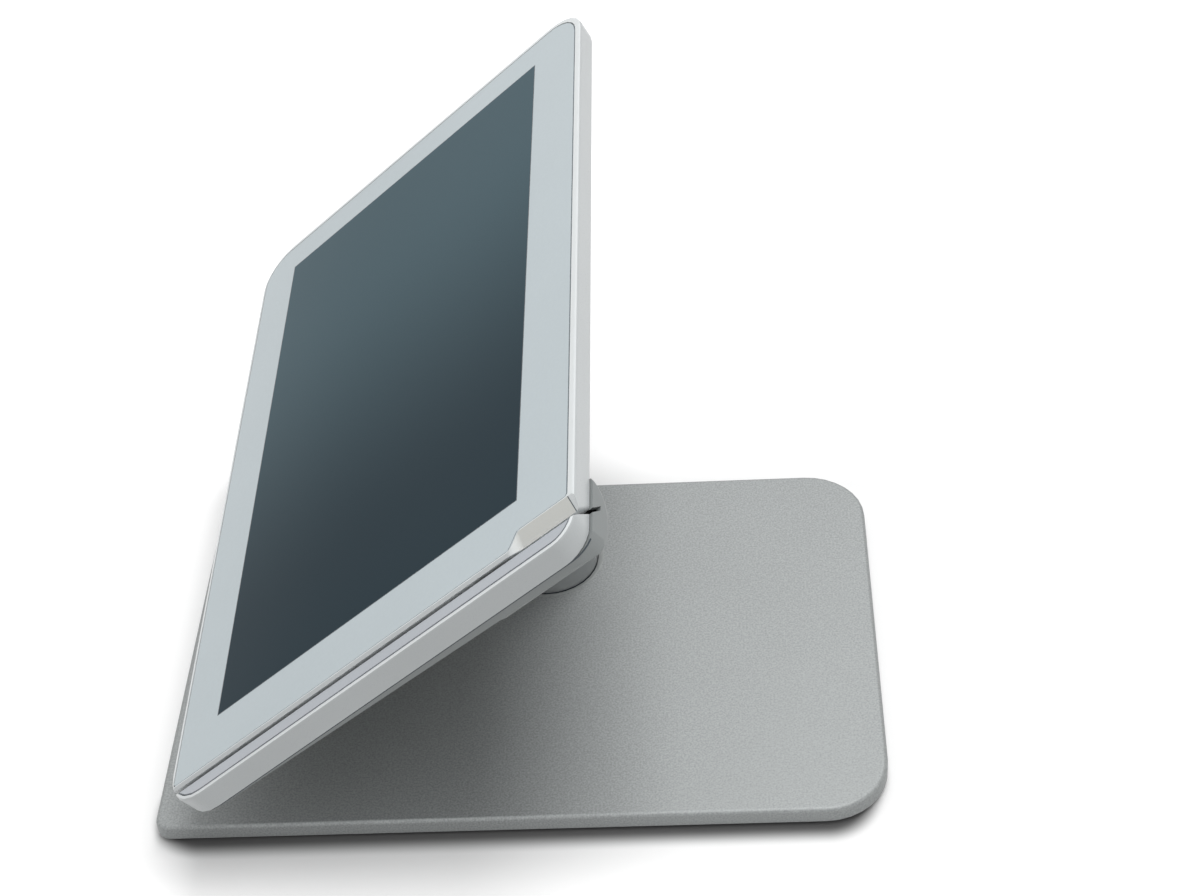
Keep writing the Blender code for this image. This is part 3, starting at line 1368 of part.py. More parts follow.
def shell_form(name, wall, front):
    """The outer form of the rear shell, or the same form drawn in by the wall."""
    back_lift = wall
    levels = (
        (front, SHELL_SETBACK, SHELL_SETBACK_TOP, SHELL_SETBACK, False),
        (FACE - SHELL_SIDE_DEPTH + back_lift, SHELL_SETBACK, SHELL_SETBACK_TOP + FLANK_TOP_STEP,
         SHELL_SETBACK, True),
        (FACE - SHELL_EDGE_DEPTH + back_lift, SHELL_SETBACK + FLANK_SIDE,
         SHELL_SETBACK_TOP + FLANK_TOP, SHELL_SETBACK + FLANK_BOTTOM, True),
        (FACE - SHELL_DEPTH + back_lift, SHELL_SETBACK + FLANK_SIDE + BACK_EDGE_BLEND,
         SHELL_SETBACK_TOP + FLANK_TOP + BACK_EDGE_BLEND,
         SHELL_SETBACK + FLANK_BOTTOM + BACK_EDGE_BLEND, True))
    rings = []
    for level, side, top, bottom, wedged in levels:
        outline = case_outline(side + wall, side + wall, bottom + wall, top + wall)
        rings.append([
            (x, y, level - (SHELL_WEDGE * y if wedged else 0)) for x, y in outline])
    return loft(name, rings)


def bulge_form(name, wall):
    """An oval hump over the card reader, cut off square near the top of the case."""
    middle = CASE_RIGHT - BULGE_MIDDLE
    points = arc(0, 0, 1, math.pi, 2 * math.pi, 14)
    outline = [
        (middle + (BULGE_HALF_WIDTH - wall) * x, FRAME_BACK + (BULGE_DEPTH - wall) * z)
        for x, z in points]
    top = CASE_TOP - BULGE_TOP_SETBACK - wall
    hump = prism_along_y(name, outline, top - BULGE_LENGTH, top)
    if not wall:
        round_edges(
            hump,
            lambda p, q: abs(p.y - top) < SEAT_GAP and abs(q.y - top) < SEAT_GAP
            and min(p.z, q.z) < FRAME_BACK - SEAT_GAP,
            BULGE_ROUND, 2)
    mask = flat_solid(
        "mask", even_case_outline(SHELL_SETBACK + wall), FRAME_BACK - 3 * BULGE_DEPTH,
        SHELL_FRONT + (OVERRUN if wall else 0))
    return keep_inside(hump, mask)


def rear_slots():
    slots = []
    row_start = MAIN_BOARD_X - VENT_PITCH * (VENT_COUNT - 1) / 2
    for index in range(VENT_COUNT):
        slots.append((row_start + VENT_PITCH * index, VENT_Y, VENT_WIDTH, VENT_LENGTH))
    for x in (-SPEAKER_X, SPEAKER_X):
        start = x - SPEAKER_SLOT_PITCH * (SPEAKER_SLOT_COUNT - 1) / 2
        for index in range(SPEAKER_SLOT_COUNT):
            slots.append((
                start + SPEAKER_SLOT_PITCH * index, SPEAKER_Y, SPEAKER_SLOT_WIDTH,
                SPEAKER_SLOT_LENGTH))
    return [
        flat_solid(
            "slot", centred_rectangle(width, length, width * SLOT_END_SHARE, x, y, steps=2),
            shell_back(y) - OVERRUN, shell_back(y) + SHELL_WALL + OVERRUN / 2)
        for x, y, width, length in slots]


def make_rear_shell():
    shell = shell_form("rear_shell", 0, SHELL_FRONT)
    hub = flat_solid(
        "hub",
        centred_rectangle(
            BRACKET_LENGTH + 2 * HUB_MARGIN, BRACKET_WIDTH + 2 * HUB_MARGIN,
            BRACKET_CORNER + HUB_MARGIN, CASE_MIDDLE, HINGE_Y, CORNER_STEPS),
        HUB_BACK, FACE - SHELL_DEPTH + SHELL_WALL)
    round_level(hub, HUB_BACK, HUB_RISE, 1)
    join(shell, bulge_form("bulge", 0), hub)
    cavity = shell_form("cavity", SHELL_WALL, SHELL_FRONT + OVERRUN)
    cut(shell, cavity, bulge_form("bulge_cavity", SHELL_WALL))
    boss_radius = SHELL_SCREW_HEAD + SIDE_GAP + SHELL_BOSS_WALL
    for x, y in shell_screw_places() + rail_screw_places():
        boss = rod(
            "boss", boss_radius, shell_back(y) - SHELL_WALL, SHELL_FRONT, x, y, SMALL_SIDES)
        limit = SHELL_WALL / 2
        join(shell, keep_inside(boss, shell_form("limit", limit, SHELL_FRONT + OVERRUN)))
    cutters = [slot_prism("slot", CASE_BOTTOM - OVERRUN, CASE_BOTTOM + 3 * OVERRUN)]
    cutters.append(slot_prism("slot", CASE_TOP - 2 * OVERRUN, CASE_TOP + OVERRUN))
    for x, y in shell_screw_places() + rail_screw_places():
        cutters.append(rod(
            "hole", SHELL_SCREW_RADIUS + SIDE_GAP, shell_back(y) - OVERRUN, FACE, x, y,
            SMALL_SIDES))
        cutters.append(rod(
            "head_hole", SHELL_SCREW_HEAD + SIDE_GAP, shell_back(y) - OVERRUN,
            SHELL_FRONT - SHELL_SCREW_WEB, x, y, SMALL_SIDES))
    for x, y in bracket_screw_places():
        cutters.append(rod(
            "hole", BRACKET_SCREW_RADIUS + SIDE_GAP, HUB_BACK - OVERRUN, SHELL_FRONT, x, y,
            SMALL_SIDES))
    cutters.append(rod(
        "button_hole", BUTTON_RADIUS + SIDE_GAP, shell_back(BUTTON_Y) - OVERRUN, SHELL_FRONT,
        BUTTON_X, BUTTON_Y))
    cutters.append(flat_solid(
        "socket_hole",
        centred_rectangle(
            SOCKET_LENGTH + 2 * SIDE_GAP, SOCKET_WIDTH + 2 * SIDE_GAP,
            SOCKET_CORNER + SIDE_GAP, SOCKET_X, SOCKET_Y),
        shell_back(SOCKET_Y) - OVERRUN, SHELL_FRONT))
    return cut(shell, *cutters, *rear_slots())


def make_case_screws():
    """Four hold the shell to the frame, two hold it to the reader rail."""
    head_front = SHELL_FRONT - SHELL_SCREW_WEB - SEAT_GAP
    head_end = head_front - SHELL_SCREW_HEAD_HEIGHT
    tip = FRAME_BACK + SHELL_SCREW_ENGAGEMENT
    screws = []
    for kind, places in (("shell", shell_screw_places()), ("rail", rail_screw_places())):
        for index, (x, y) in enumerate(places):
            screws.append(screw(
                f"{kind}_screw_{index + 1}", x, y, head_end, SHELL_SCREW_HEAD,
                SHELL_SCREW_HEAD_HEIGHT, SHELL_SCREW_RADIUS, tip))
    return screws


# Assembly


def settle(solids, finish, collection, parent=None):
    """Gives solids their finish, puts them with the parts and hangs them on their empty."""
    for solid in solids:
        for owner in list(solid.users_collection):
            owner.objects.unlink(solid)
        collection.objects.link(solid)
        solid.data.materials.clear()
        solid.data.materials.append(finish)
        solid.data.name = solid.name
        solid.data.shade_smooth()
        solid.data.set_sharp_from_angle(angle=SMOOTH_ANGLE)
        solid.parent = parent


def build():
    clear_scene()
    parts = make_collection("counter_terminal")
    finishes = {name: make_finish(name) for name in FINISHES}

    swivel = make_empty(
        "swivel_axis", parts, (SWIVEL_X, SWIVEL_Y, 0), (0, 0, SWIVEL_ANGLE))
    tilt = make_empty(
        "tilt_axis", parts, hinge_point(), (math.pi / 2 - LEAN_FROM_VERTICAL, 0, 0), swivel)
    display = make_empty(
        "display_axes", parts, (-CASE_MIDDLE, -HINGE_Y, -HINGE_Z), (0, 0, 0), tilt)
    middle, _, _ = head_frame()
    head_slide = make_empty("reader_head_axis", parts, middle, (0, 0, 0), display)
    button_slide = make_empty(
        "power_button_axis", parts, (BUTTON_X, BUTTON_Y, shell_back(BUTTON_Y)), (0, 0, 0),
        display)

    base_pieces = (
        ([make_base_plate()], "satin_silver"), ([make_ballast_plate()], "bare_steel"),
        (make_ballast_screws(), "bare_steel"), ([make_base_pad()], "rubber"))
    neck_pieces = (
        ([make_neck()], "case_grey"), ([make_slip_washer()], "slip_plastic"),
        ([make_swivel_shaft(), make_retainer(), make_stop_pin()], "bare_steel"),
        (make_retainer_screws(), "bare_steel"), (make_friction_washers(), "slip_plastic"))
    display_pieces = (
        ([make_bracket()], "case_grey"), ([make_hinge_shaft()], "bare_steel"),
        (make_hinge_nuts(), "bare_steel"), (make_hinge_caps(), "black_plastic"),
        (make_bracket_screws(), "bare_steel"), ([make_front_frame()], "case_white"),
        ([make_glass()], "border_glass"), ([make_reader_rail()], "case_white"),
        ([make_rail_strip()], "strip_lavender"), ([make_reader_body()], "black_plastic"),
        ([make_head_holder()], "black_plastic"), ([make_head_spring()], "bare_steel"),
        ([make_panel()], "panel_dark"), ([make_chassis()], "magnesium"),
        (make_boards(), "board_green"), ([make_switch_board()], "board_green"),
        ([make_shield_can()], "bare_steel"), ([make_heat_spreader()], "copper"),
        (make_speakers(), "black_plastic"), ([make_socket()], "bare_steel"),
        ([make_rear_shell()], "case_grey"), (make_case_screws(), "bare_steel"))
    for solids, finish in base_pieces:
        settle(solids, finishes[finish], parts)
    for solids, finish in neck_pieces:
        settle(solids, finishes[finish], parts, swivel)
    for solids, finish in display_pieces:
        settle(solids, finishes[finish], parts, display)

    sprung = ((make_reader_head(), "bare_steel", head_slide, middle),
              (make_power_button(), "satin_silver", button_slide,
               Vector((BUTTON_X, BUTTON_Y, shell_back(BUTTON_Y)))))
    for solid, finish, empty, origin in sprung:
        solid.data.transform(Matrix.Translation(-Vector(origin)))
        settle([solid], finishes[finish], parts, empty)


build()
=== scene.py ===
"""Counter terminal: a touch display with a card slot along one side, on a neck that turns."""
import json
import math

import bmesh
import bpy
from bpy.props import FloatProperty, FloatVectorProperty, IntProperty, PointerProperty
from mathutils import Euler, Matrix, Vector


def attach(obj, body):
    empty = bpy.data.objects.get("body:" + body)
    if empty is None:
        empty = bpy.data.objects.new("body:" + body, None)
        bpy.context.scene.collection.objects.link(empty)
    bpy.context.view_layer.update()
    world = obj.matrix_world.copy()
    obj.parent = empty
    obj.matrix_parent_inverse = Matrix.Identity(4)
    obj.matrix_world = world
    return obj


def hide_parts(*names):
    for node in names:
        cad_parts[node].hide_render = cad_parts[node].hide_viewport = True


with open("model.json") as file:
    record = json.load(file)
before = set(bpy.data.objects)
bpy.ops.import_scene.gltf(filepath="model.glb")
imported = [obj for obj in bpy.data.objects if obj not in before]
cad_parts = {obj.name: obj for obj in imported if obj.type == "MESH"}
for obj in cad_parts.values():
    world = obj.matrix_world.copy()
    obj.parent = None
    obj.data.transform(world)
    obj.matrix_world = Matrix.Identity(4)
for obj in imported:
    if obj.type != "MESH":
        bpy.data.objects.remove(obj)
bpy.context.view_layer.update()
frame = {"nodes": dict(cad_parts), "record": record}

bl_info = {
    "name": "Counter terminal",
    "version": (1, 0, 0),
    "blender": (4, 5, 0),
    "location": "3D View > Sidebar > Terminal",
    "description": "Finished pieces of a counter terminal, built round its packed frame",
    "category": "Add Mesh",
}

MM = 0.001
NODES = frame["nodes"]
BODY_OF = {
    node: body
    for body, members in frame["record"]["behaviour"]["bodies"].items() for node in members}
SLOT_OF = {part["node"]: part["material_slot"] for part in frame["record"]["subparts"]}

# Where the picture's middle is, and how the screen is turned and leaned
SCREEN_MIDDLE = Vector((-45.73, 49.85, 103.9)) * MM
SCREEN_TURN = Euler((math.radians(39.6), 0, math.radians(-88.7)))

# The base's rectangle, and the round well in it that takes the foot of the neck
BASE_HALF_SIZE = (130.5 * MM, 86.8 * MM)
WELL_MIDDLE = Vector((5.0, 44.7)) * MM
WELL_REACH = 30 * MM

# A shadow painted on the floor along the base's near edge reaches out from a narrow
# rectangle under the base, so that it follows the edge and its rounded corners
SHADE_CORE_MIDDLE = (-3.5 * MM, -73.4 * MM)
SHADE_CORE_HALF_SIZE = (111.5 * MM, 1.4 * MM)
SHADE_REACH = 12 * MM

# Places on the screen from the picture's middle: where the seam beside the lead-in starts
# and which way it runs, where the lead-in begins to widen and is full, and the frame's back
SEAM_START = Vector((143.0, 94.45, 0)) * MM
SEAM_RUN = Vector((5.95, 1.3, 0)).normalized()
LEAD_IN_BEGINS = 68.8 * MM
LEAD_IN_FULL = 75.0 * MM
FRAME_BACK = -7.8 * MM

# Which way the lead-in and the frame's wall of the slot face on the screen, and which way the
# corner at the slot's mouth runs
LEAD_IN_NORMAL = Vector((0.472, 0, 0.881))
SLOT_WALL_NORMAL = Vector((0.719, 0, -0.695))
SLOT_MOUTH_RUN = Vector((0.68, 0.16, 0.71))

# The places across the screen between which its shade changes
PICTURE_FAR_UNTIL = -85 * MM
PICTURE_NEAR_FROM = 95 * MM

# Cosines between a face and a direction, by which faces of one kind are told from the others
END_FACING = 0.99
SAME_FACING = 0.995
GLASS_FACING = 0.999
GLASS_EDGE_MOST_LEAN = 0.3
LIP_LEAST_FACING = 0.55
FRAME_LIP_MOST_LEAN = 0.2
RAIL_LIP_MOST_LEAN = 0.5
LEAD_IN_FACING = 0.96
LEAD_IN_START_FACING = 0.5
LEAD_IN_START_LEAN = 0.2
MOUTH_EDGE_FACING = 0.97
PARTING_MOST_FACING = 0.5
PARTING_MOST_UPWARD = 0.8
WELL_WALL_MOST_FACING = 0.2
WELL_SLOPE_MOST_FACING = 0.95

# The rim round the end of a screw's head, by the head's radius, and its rise, by its width
HEAD_RIM = 0.12
HEAD_RIM_RISE = 0.6

# The opening at the top of the button's ring, the height of the middle of its bar, by the
# ring's radius, and the steps that the ring is made of
MARK_OPENING = math.radians(70)
MARK_BAR_PLACE = 0.7
MARK_STEPS = 32

MERGE_DISTANCE = 0.002 * MM
FLAT_ANGLE = math.radians(0.4)
SHARP_ANGLE = math.radians(31)
EDGE_SEGMENTS = 2
MOUTH_SEGMENTS = 5

# The part of a noise's range that is spread over a finish, and the broad soft clouds in it
GRAIN_RANGE = (0.3, 0.7)
CLOUD_RANGE = (0.35, 0.65)
CLOUD_SIZE = 40 * MM
CLOUD_SHADE = 0.985

# Where the lamps hang, and the camera's place, its heading, tilt and roll in degrees, the
# width of its sensor and its lens in millimetres, and how near it sees
KEY_LAMP_PLACE = (0.2, 0.02, 1.35)
LEFT_LAMP_PLACE = (-0.95, 0.05, 0.75)
CAMERA_PLACE = (0.0835, -0.5904, 0.6196)
CAMERA_ANGLES = (-4.95, 41.04, -5.44)
CAMERA_SENSOR = 36
CAMERA_LENS = 67.36
CAMERA_NEAREST = 0.01


def tone(red, green, blue):
    """A shade given in 0 to 255, as the linear colour that Blender's sockets take."""
    shares = [value / 255 for value in (red, green, blue)]
    return tuple(
        share / 12.92 if share <= 0.04045 else ((share + 0.055) / 1.055) ** 2.4
        for share in shares)


def screen_matrix():
    return Matrix.Translation(SCREEN_MIDDLE) @ SCREEN_TURN.to_matrix().to_4x4()


# Sizes and colours


def length(name, description, default):
    return FloatProperty(
        name=name, description=description, default=default, min=0.0, unit="LENGTH",
        subtype="DISTANCE", precision=5)


def colour(name, description, default):
    return FloatVectorProperty(
        name=name, description=description, default=default, size=3, min=0.0, max=1.0,
        subtype="COLOR")


def share(name, description, default):
    return FloatProperty(
        name=name, description=description, default=default, min=0.0, max=1.0, subtype="FACTOR")


class StageSettings(bpy.types.PropertyGroup):
    floor_side: length("Floor side", "Side of the pale floor", 9.0)
    floor_look: colour("Floor", "Shade of the floor as the camera sees it", tone(253, 253, 253))
    floor_bounce: share("Floor bounce", "How much light the floor gives back", 0.6)
    floor_lift: share("Floor lift", "White added to the floor away from the object", 0.27)
    lift_start: length("Lift start", "Where the lift begins, from the base's edge", 3.0 * MM)
    lift_end: length("Lift end", "Where the lift is full, from the base's edge", 34.0 * MM)
    # The shade settings place a shadow painted on the floor along the base's near edge
    shade_start: length("Shade start", "Where the near edge's shade begins to fade", 0.5 * MM)
    shade_end: length("Shade end", "Where the near edge's shade has faded", 8.8 * MM)
    shade_keeps: share(
        "Shade keeps", "The share of its brightness that the floor keeps there", 0.15)
    key_power: FloatProperty(
        name="Key lamp", description="Power of the lamp overhead", default=18.0, min=0.0,
        unit="POWER")
    left_power: FloatProperty(
        name="Left lamp", description="Power of the weak lamp on the left", default=0.6,
        min=0.0, unit="POWER")
    key_length: length("Key length", "Length of the lamp overhead, left to right", 2.5)
    key_width: length("Key width", "Width of the lamp overhead", 0.6)
    left_side: length("Left side", "Side of the square lamp on the left", 0.85)
    fill_strength: share("Fill", "Strength of the even light from all round", 0.42)


class BaseSettings(bpy.types.PropertyGroup):
    metal: colour("Painted metal", "Shade of the base", tone(151, 154, 154))
    # The slope round the neck's foot is painted lighter than the base, to lift its shade
    slope: colour("Well slope", "Shade of the slope round the neck's foot", tone(164, 167, 166))
    speckle_size: length("Speckle", "Size of the paint's speckles", 0.7 * MM)
    edge_ease: length("Edge ease", "Round of the small edges", 0.35 * MM)


class NeckSettings(bpy.types.PropertyGroup):
    metal: colour("Neck metal", "Shade of the neck", tone(150, 153, 154))
    # The neck's foot is painted dark up to this height, as shade in the base's well
    foot_shade_line: length("Foot line", "Height up to which the foot is dark", 7.75 * MM)
    edge_ease: length("Edge ease", "Round of the small edges", 0.3 * MM)


class DisplaySettings(bpy.types.PropertyGroup):
    picture_width: length("Picture width", "Width of the picture area", 256.1 * MM)
    picture_height: length("Picture height", "Height of the picture area", 144.1 * MM)
    line_width: length("Line", "Width of the line round the picture", 0.35 * MM)
    white: colour("White plastic", "Shade of the frame and the rail", tone(194, 198, 199))
    # The lip is a lighter copy of the white plastic: a painted highlight on the faces that the
    # light falls on most
    lip: colour("Polished lip", "Shade of their bright front lip", tone(223, 227, 228))
    # The glass's side faces are painted dark, as shade in the gap round the glass
    glass_edge_shade: colour("Glass edge", "Shade of the line round the glass", tone(120, 129, 134))
    lead_in: colour("Lead-in", "Shade of the widened end of the slot", tone(193, 194, 190))
    border: colour("Printed border", "Shade behind the edge of the glass", tone(191, 201, 205))
    picture_far: colour("Picture, far side", "Shade of the dark screen", tone(68, 91, 100))
    picture_near: colour("Picture, near side", "Shade of the dark screen", tone(33, 51, 60))
    strip: colour("Strip", "Shade of the strip beside the slot", tone(180, 185, 191))
    grey: colour("Grey plastic", "Shade of the rear shell", tone(136, 140, 140))
    # The slot's walls are painted lighter than the white plastic, to lift the shade in the slot
    wall_light: colour("Slot lining", "Shade of the card slot's two walls", tone(242, 243, 244))
    edge_ease: length("Edge ease", "Round of the small edges", 0.25 * MM)
    mouth_round: length("Mouth round", "Round of the frame's corner at the slot", 1.3 * MM)
    # The seams are painted dark, as shade in the gaps between pieces
    seam_shade_width: length("Seam", "Width of the dark lines between pieces", 0.36 * MM)
    parting_shade_width: length("Parting", "Width of the dark line round the rear shell", 0.9 * MM)
    mark_radius: length("Button mark", "Radius of the ring on the power button", 2.2 * MM)
    mark_line: length("Mark line", "Width of the lines of the button's mark", 0.45 * MM)
    mark_proud: length("Mark height", "How far the button's mark stands out", 0.05 * MM)


class ScrewSettings(bpy.types.PropertyGroup):
    socket_share: share("Socket share", "Width of the key socket by the head", 0.58)
    socket_depth: length("Socket depth", "Depth of the key socket", 0.8 * MM)
    sides: IntProperty(
        name="Socket sides", description="Sides of the key socket", default=6, min=3, max=12)


# Finishes


def start_finish(name, roughness, metallic=0.0, specular=0.5):
    finish = bpy.data.materials.new(name)
    finish.use_nodes = True
    shader = finish.node_tree.nodes["Principled BSDF"]
    shader.inputs["Roughness"].default_value = roughness
    shader.inputs["Metallic"].default_value = metallic
    shader.inputs["Specular IOR Level"].default_value = specular
    return finish, finish.node_tree, shader


def own_coordinates(tree):
    return tree.nodes.new("ShaderNodeTexCoord").outputs["Object"]


def screen_coordinates(tree):
    """The piece's own coordinates, turned to run along the screen from the picture's middle."""
    turned = tree.nodes.new("ShaderNodeMapping")
    turned.vector_type = "TEXTURE"
    turned.inputs["Location"].default_value = SCREEN_MIDDLE
    turned.inputs["Rotation"].default_value = SCREEN_TURN
    tree.links.new(own_coordinates(tree), turned.inputs["Vector"])
    return turned.outputs["Vector"]


def speckles(tree, place, size, detail=2.0):
    noise = tree.nodes.new("ShaderNodeTexNoise")
    noise.inputs["Scale"].default_value = 1 / size
    noise.inputs["Detail"].default_value = detail
    tree.links.new(place, noise.inputs["Vector"])
    return noise.outputs["Fac"]


def ranged(tree, value, low, high, to_low, to_high, smooth=False):
    mapped = tree.nodes.new("ShaderNodeMapRange")
    mapped.interpolation_type = "SMOOTHSTEP" if smooth else "LINEAR"
    for socket, number in zip(("From Min", "From Max", "To Min", "To Max"),
                              (low, high, to_low, to_high)):
        mapped.inputs[socket].default_value = number
    tree.links.new(value, mapped.inputs["Value"])
    return mapped.outputs["Result"]


def between(tree, factor, first, second):
    """A colour that runs from the first to the second. Either may be a socket."""
    mix = tree.nodes.new("ShaderNodeMix")
    mix.data_type = "RGBA"
    tree.links.new(factor, mix.inputs["Factor"])
    for socket, value in (("A", first), ("B", second)):
        target = [
            entry for entry in mix.inputs if entry.name == socket and entry.type == "RGBA"][0]
        if isinstance(value, bpy.types.NodeSocket):
            tree.links.new(value, target)
        else:
            target.default_value = (*value, 1)
    return [entry for entry in mix.outputs if entry.type == "RGBA"][0]


def looked_at(tree):
    """One for what the camera, gloss or glass sees, and none for the light that it gives."""
    path = tree.nodes.new("ShaderNodeLightPath")
    seen = path.outputs["Is Camera Ray"]
    for other in ("Is Glossy Ray", "Is Transmission Ray"):
        either = tree.nodes.new("ShaderNodeMath")
        either.operation = "MAXIMUM"
        tree.links.new(seen, either.inputs[0])
        tree.links.new(path.outputs[other], either.inputs[1])
        seen = either.outputs["Value"]
    return seen


def product(tree, first, second):
    """One colour times another."""
    mix = tree.nodes.new("ShaderNodeMix")
    mix.data_type = "RGBA"
    mix.blend_type = "MULTIPLY"
    mix.inputs["Factor"].default_value = 1
    sockets = {entry.name: entry for entry in mix.inputs if entry.type == "RGBA"}
    tree.links.new(first, sockets["A"])
    tree.links.new(second, sockets["B"])
    return [entry for entry in mix.outputs if entry.type == "RGBA"][0]


def shaded(shade, factor):
    return tuple(min(1.0, channel * factor) for channel in shade)


def raise_grain(tree, shader, height, depth):
    bump = tree.nodes.new("ShaderNodeBump")
    bump.inputs["Distance"].default_value = depth
    bump.inputs["Strength"].default_value = 1
    tree.links.new(height, bump.inputs["Height"])
    tree.links.new(bump.outputs["Normal"], shader.inputs["Normal"])


def grained_finish(name, shade, roughness, size, mottle=0.04, depth=0.012 * MM, metallic=0.0,
                   specular=0.5, haze=0.05):
    """A finish with fine grain in its colour, its gloss and its surface."""
    finish, tree, shader = start_finish(name, roughness, metallic, specular)
    place = own_coordinates(tree)
    fine = speckles(tree, place, size)
    broad = speckles(tree, place, CLOUD_SIZE, detail=1.0)
    grain = ranged(tree, fine, *GRAIN_RANGE, 0, 1)
    mottled = between(tree, grain, shaded(shade, 1 - mottle), shaded(shade, 1 + mottle))
    cloud = ranged(tree, broad, *CLOUD_RANGE, 0, 1)
    clouded = between(tree, cloud, (CLOUD_SHADE,) * 3, (1, 1, 1))
    tree.links.new(product(tree, mottled, clouded), shader.inputs["Base Color"])
    tree.links.new(
        ranged(tree, fine, *GRAIN_RANGE, roughness - haze, roughness + haze),
        shader.inputs["Roughness"])
    if depth:
        raise_grain(tree, shader, fine, depth)
    return finish


def brushed_finish(name, shade, roughness, stretch, size=0.6 * MM, depth=0.01 * MM, haze=0.06,
                   darkest=0.9, lightest=1.08):
    """Turned or drawn steel: the grain is long one way."""
    finish, tree, shader = start_finish(name, roughness, metallic=1.0)
    stretched = tree.nodes.new("ShaderNodeMapping")
    stretched.inputs["Scale"].default_value = stretch
    tree.links.new(own_coordinates(tree), stretched.inputs["Vector"])
    lines = speckles(tree, stretched.outputs["Vector"], size)
    grain = ranged(tree, lines, *GRAIN_RANGE, 0, 1)
    tree.links.new(
        between(tree, grain, shaded(shade, darkest), shaded(shade, lightest)),
        shader.inputs["Base Color"])
    tree.links.new(
        ranged(tree, lines, *GRAIN_RANGE, roughness - haze, roughness + haze),
        shader.inputs["Roughness"])
    raise_grain(tree, shader, lines, depth)
    return finish


def dotted(tree, fine, darkest):
    """Fine dots from a shade that is a little under white, up to white."""
    grain = ranged(tree, fine, *GRAIN_RANGE, 0, 1)
    return between(tree, grain, (darkest,) * 3, (1, 1, 1))


def picture_finish(settings, roughness=0.16, haze=0.03, dot_size=0.5 * MM, dot_shade=0.92):
    """The dark screen seen through the glass: it goes from slate to near black."""
    finish, tree, shader = start_finish("dark_picture", roughness, specular=0.04)
    place = screen_coordinates(tree)
    split = tree.nodes.new("ShaderNodeSeparateXYZ")
    tree.links.new(place, split.inputs["Vector"])
    across = ranged(
        tree, split.outputs["X"], PICTURE_FAR_UNTIL, PICTURE_NEAR_FROM, 0, 1, smooth=True)
    along = between(tree, across, settings.picture_far, settings.picture_near)
    fine = speckles(tree, place, dot_size)
    tree.links.new(
        product(tree, along, dotted(tree, fine, dot_shade)), shader.inputs["Base Color"])
    tree.links.new(
        ranged(tree, fine, *GRAIN_RANGE, roughness - haze, roughness + haze),
        shader.inputs["Roughness"])
    return finish


def lead_in_finish(settings, roughness=0.4, dot_size=0.5 * MM, dot_shade=0.965,
                   depth=0.006 * MM):
    """The plastic of the slot's lead-in: it goes from the frame's white to a warm grey."""
    finish, tree, shader = start_finish("lead_in_plastic", roughness)
    place = screen_coordinates(tree)
    split = tree.nodes.new("ShaderNodeSeparateXYZ")
    tree.links.new(place, split.inputs["Vector"])
    along = ranged(
        tree, split.outputs["Y"], LEAD_IN_BEGINS, LEAD_IN_FULL, 0, 1, smooth=True)
    fine = speckles(tree, place, dot_size)
    warmed = between(tree, along, settings.white, settings.lead_in)
    tree.links.new(
        product(tree, warmed, dotted(tree, fine, dot_shade)), shader.inputs["Base Color"])
    raise_grain(tree, shader, fine, depth)
    return finish


FINISHES = {}


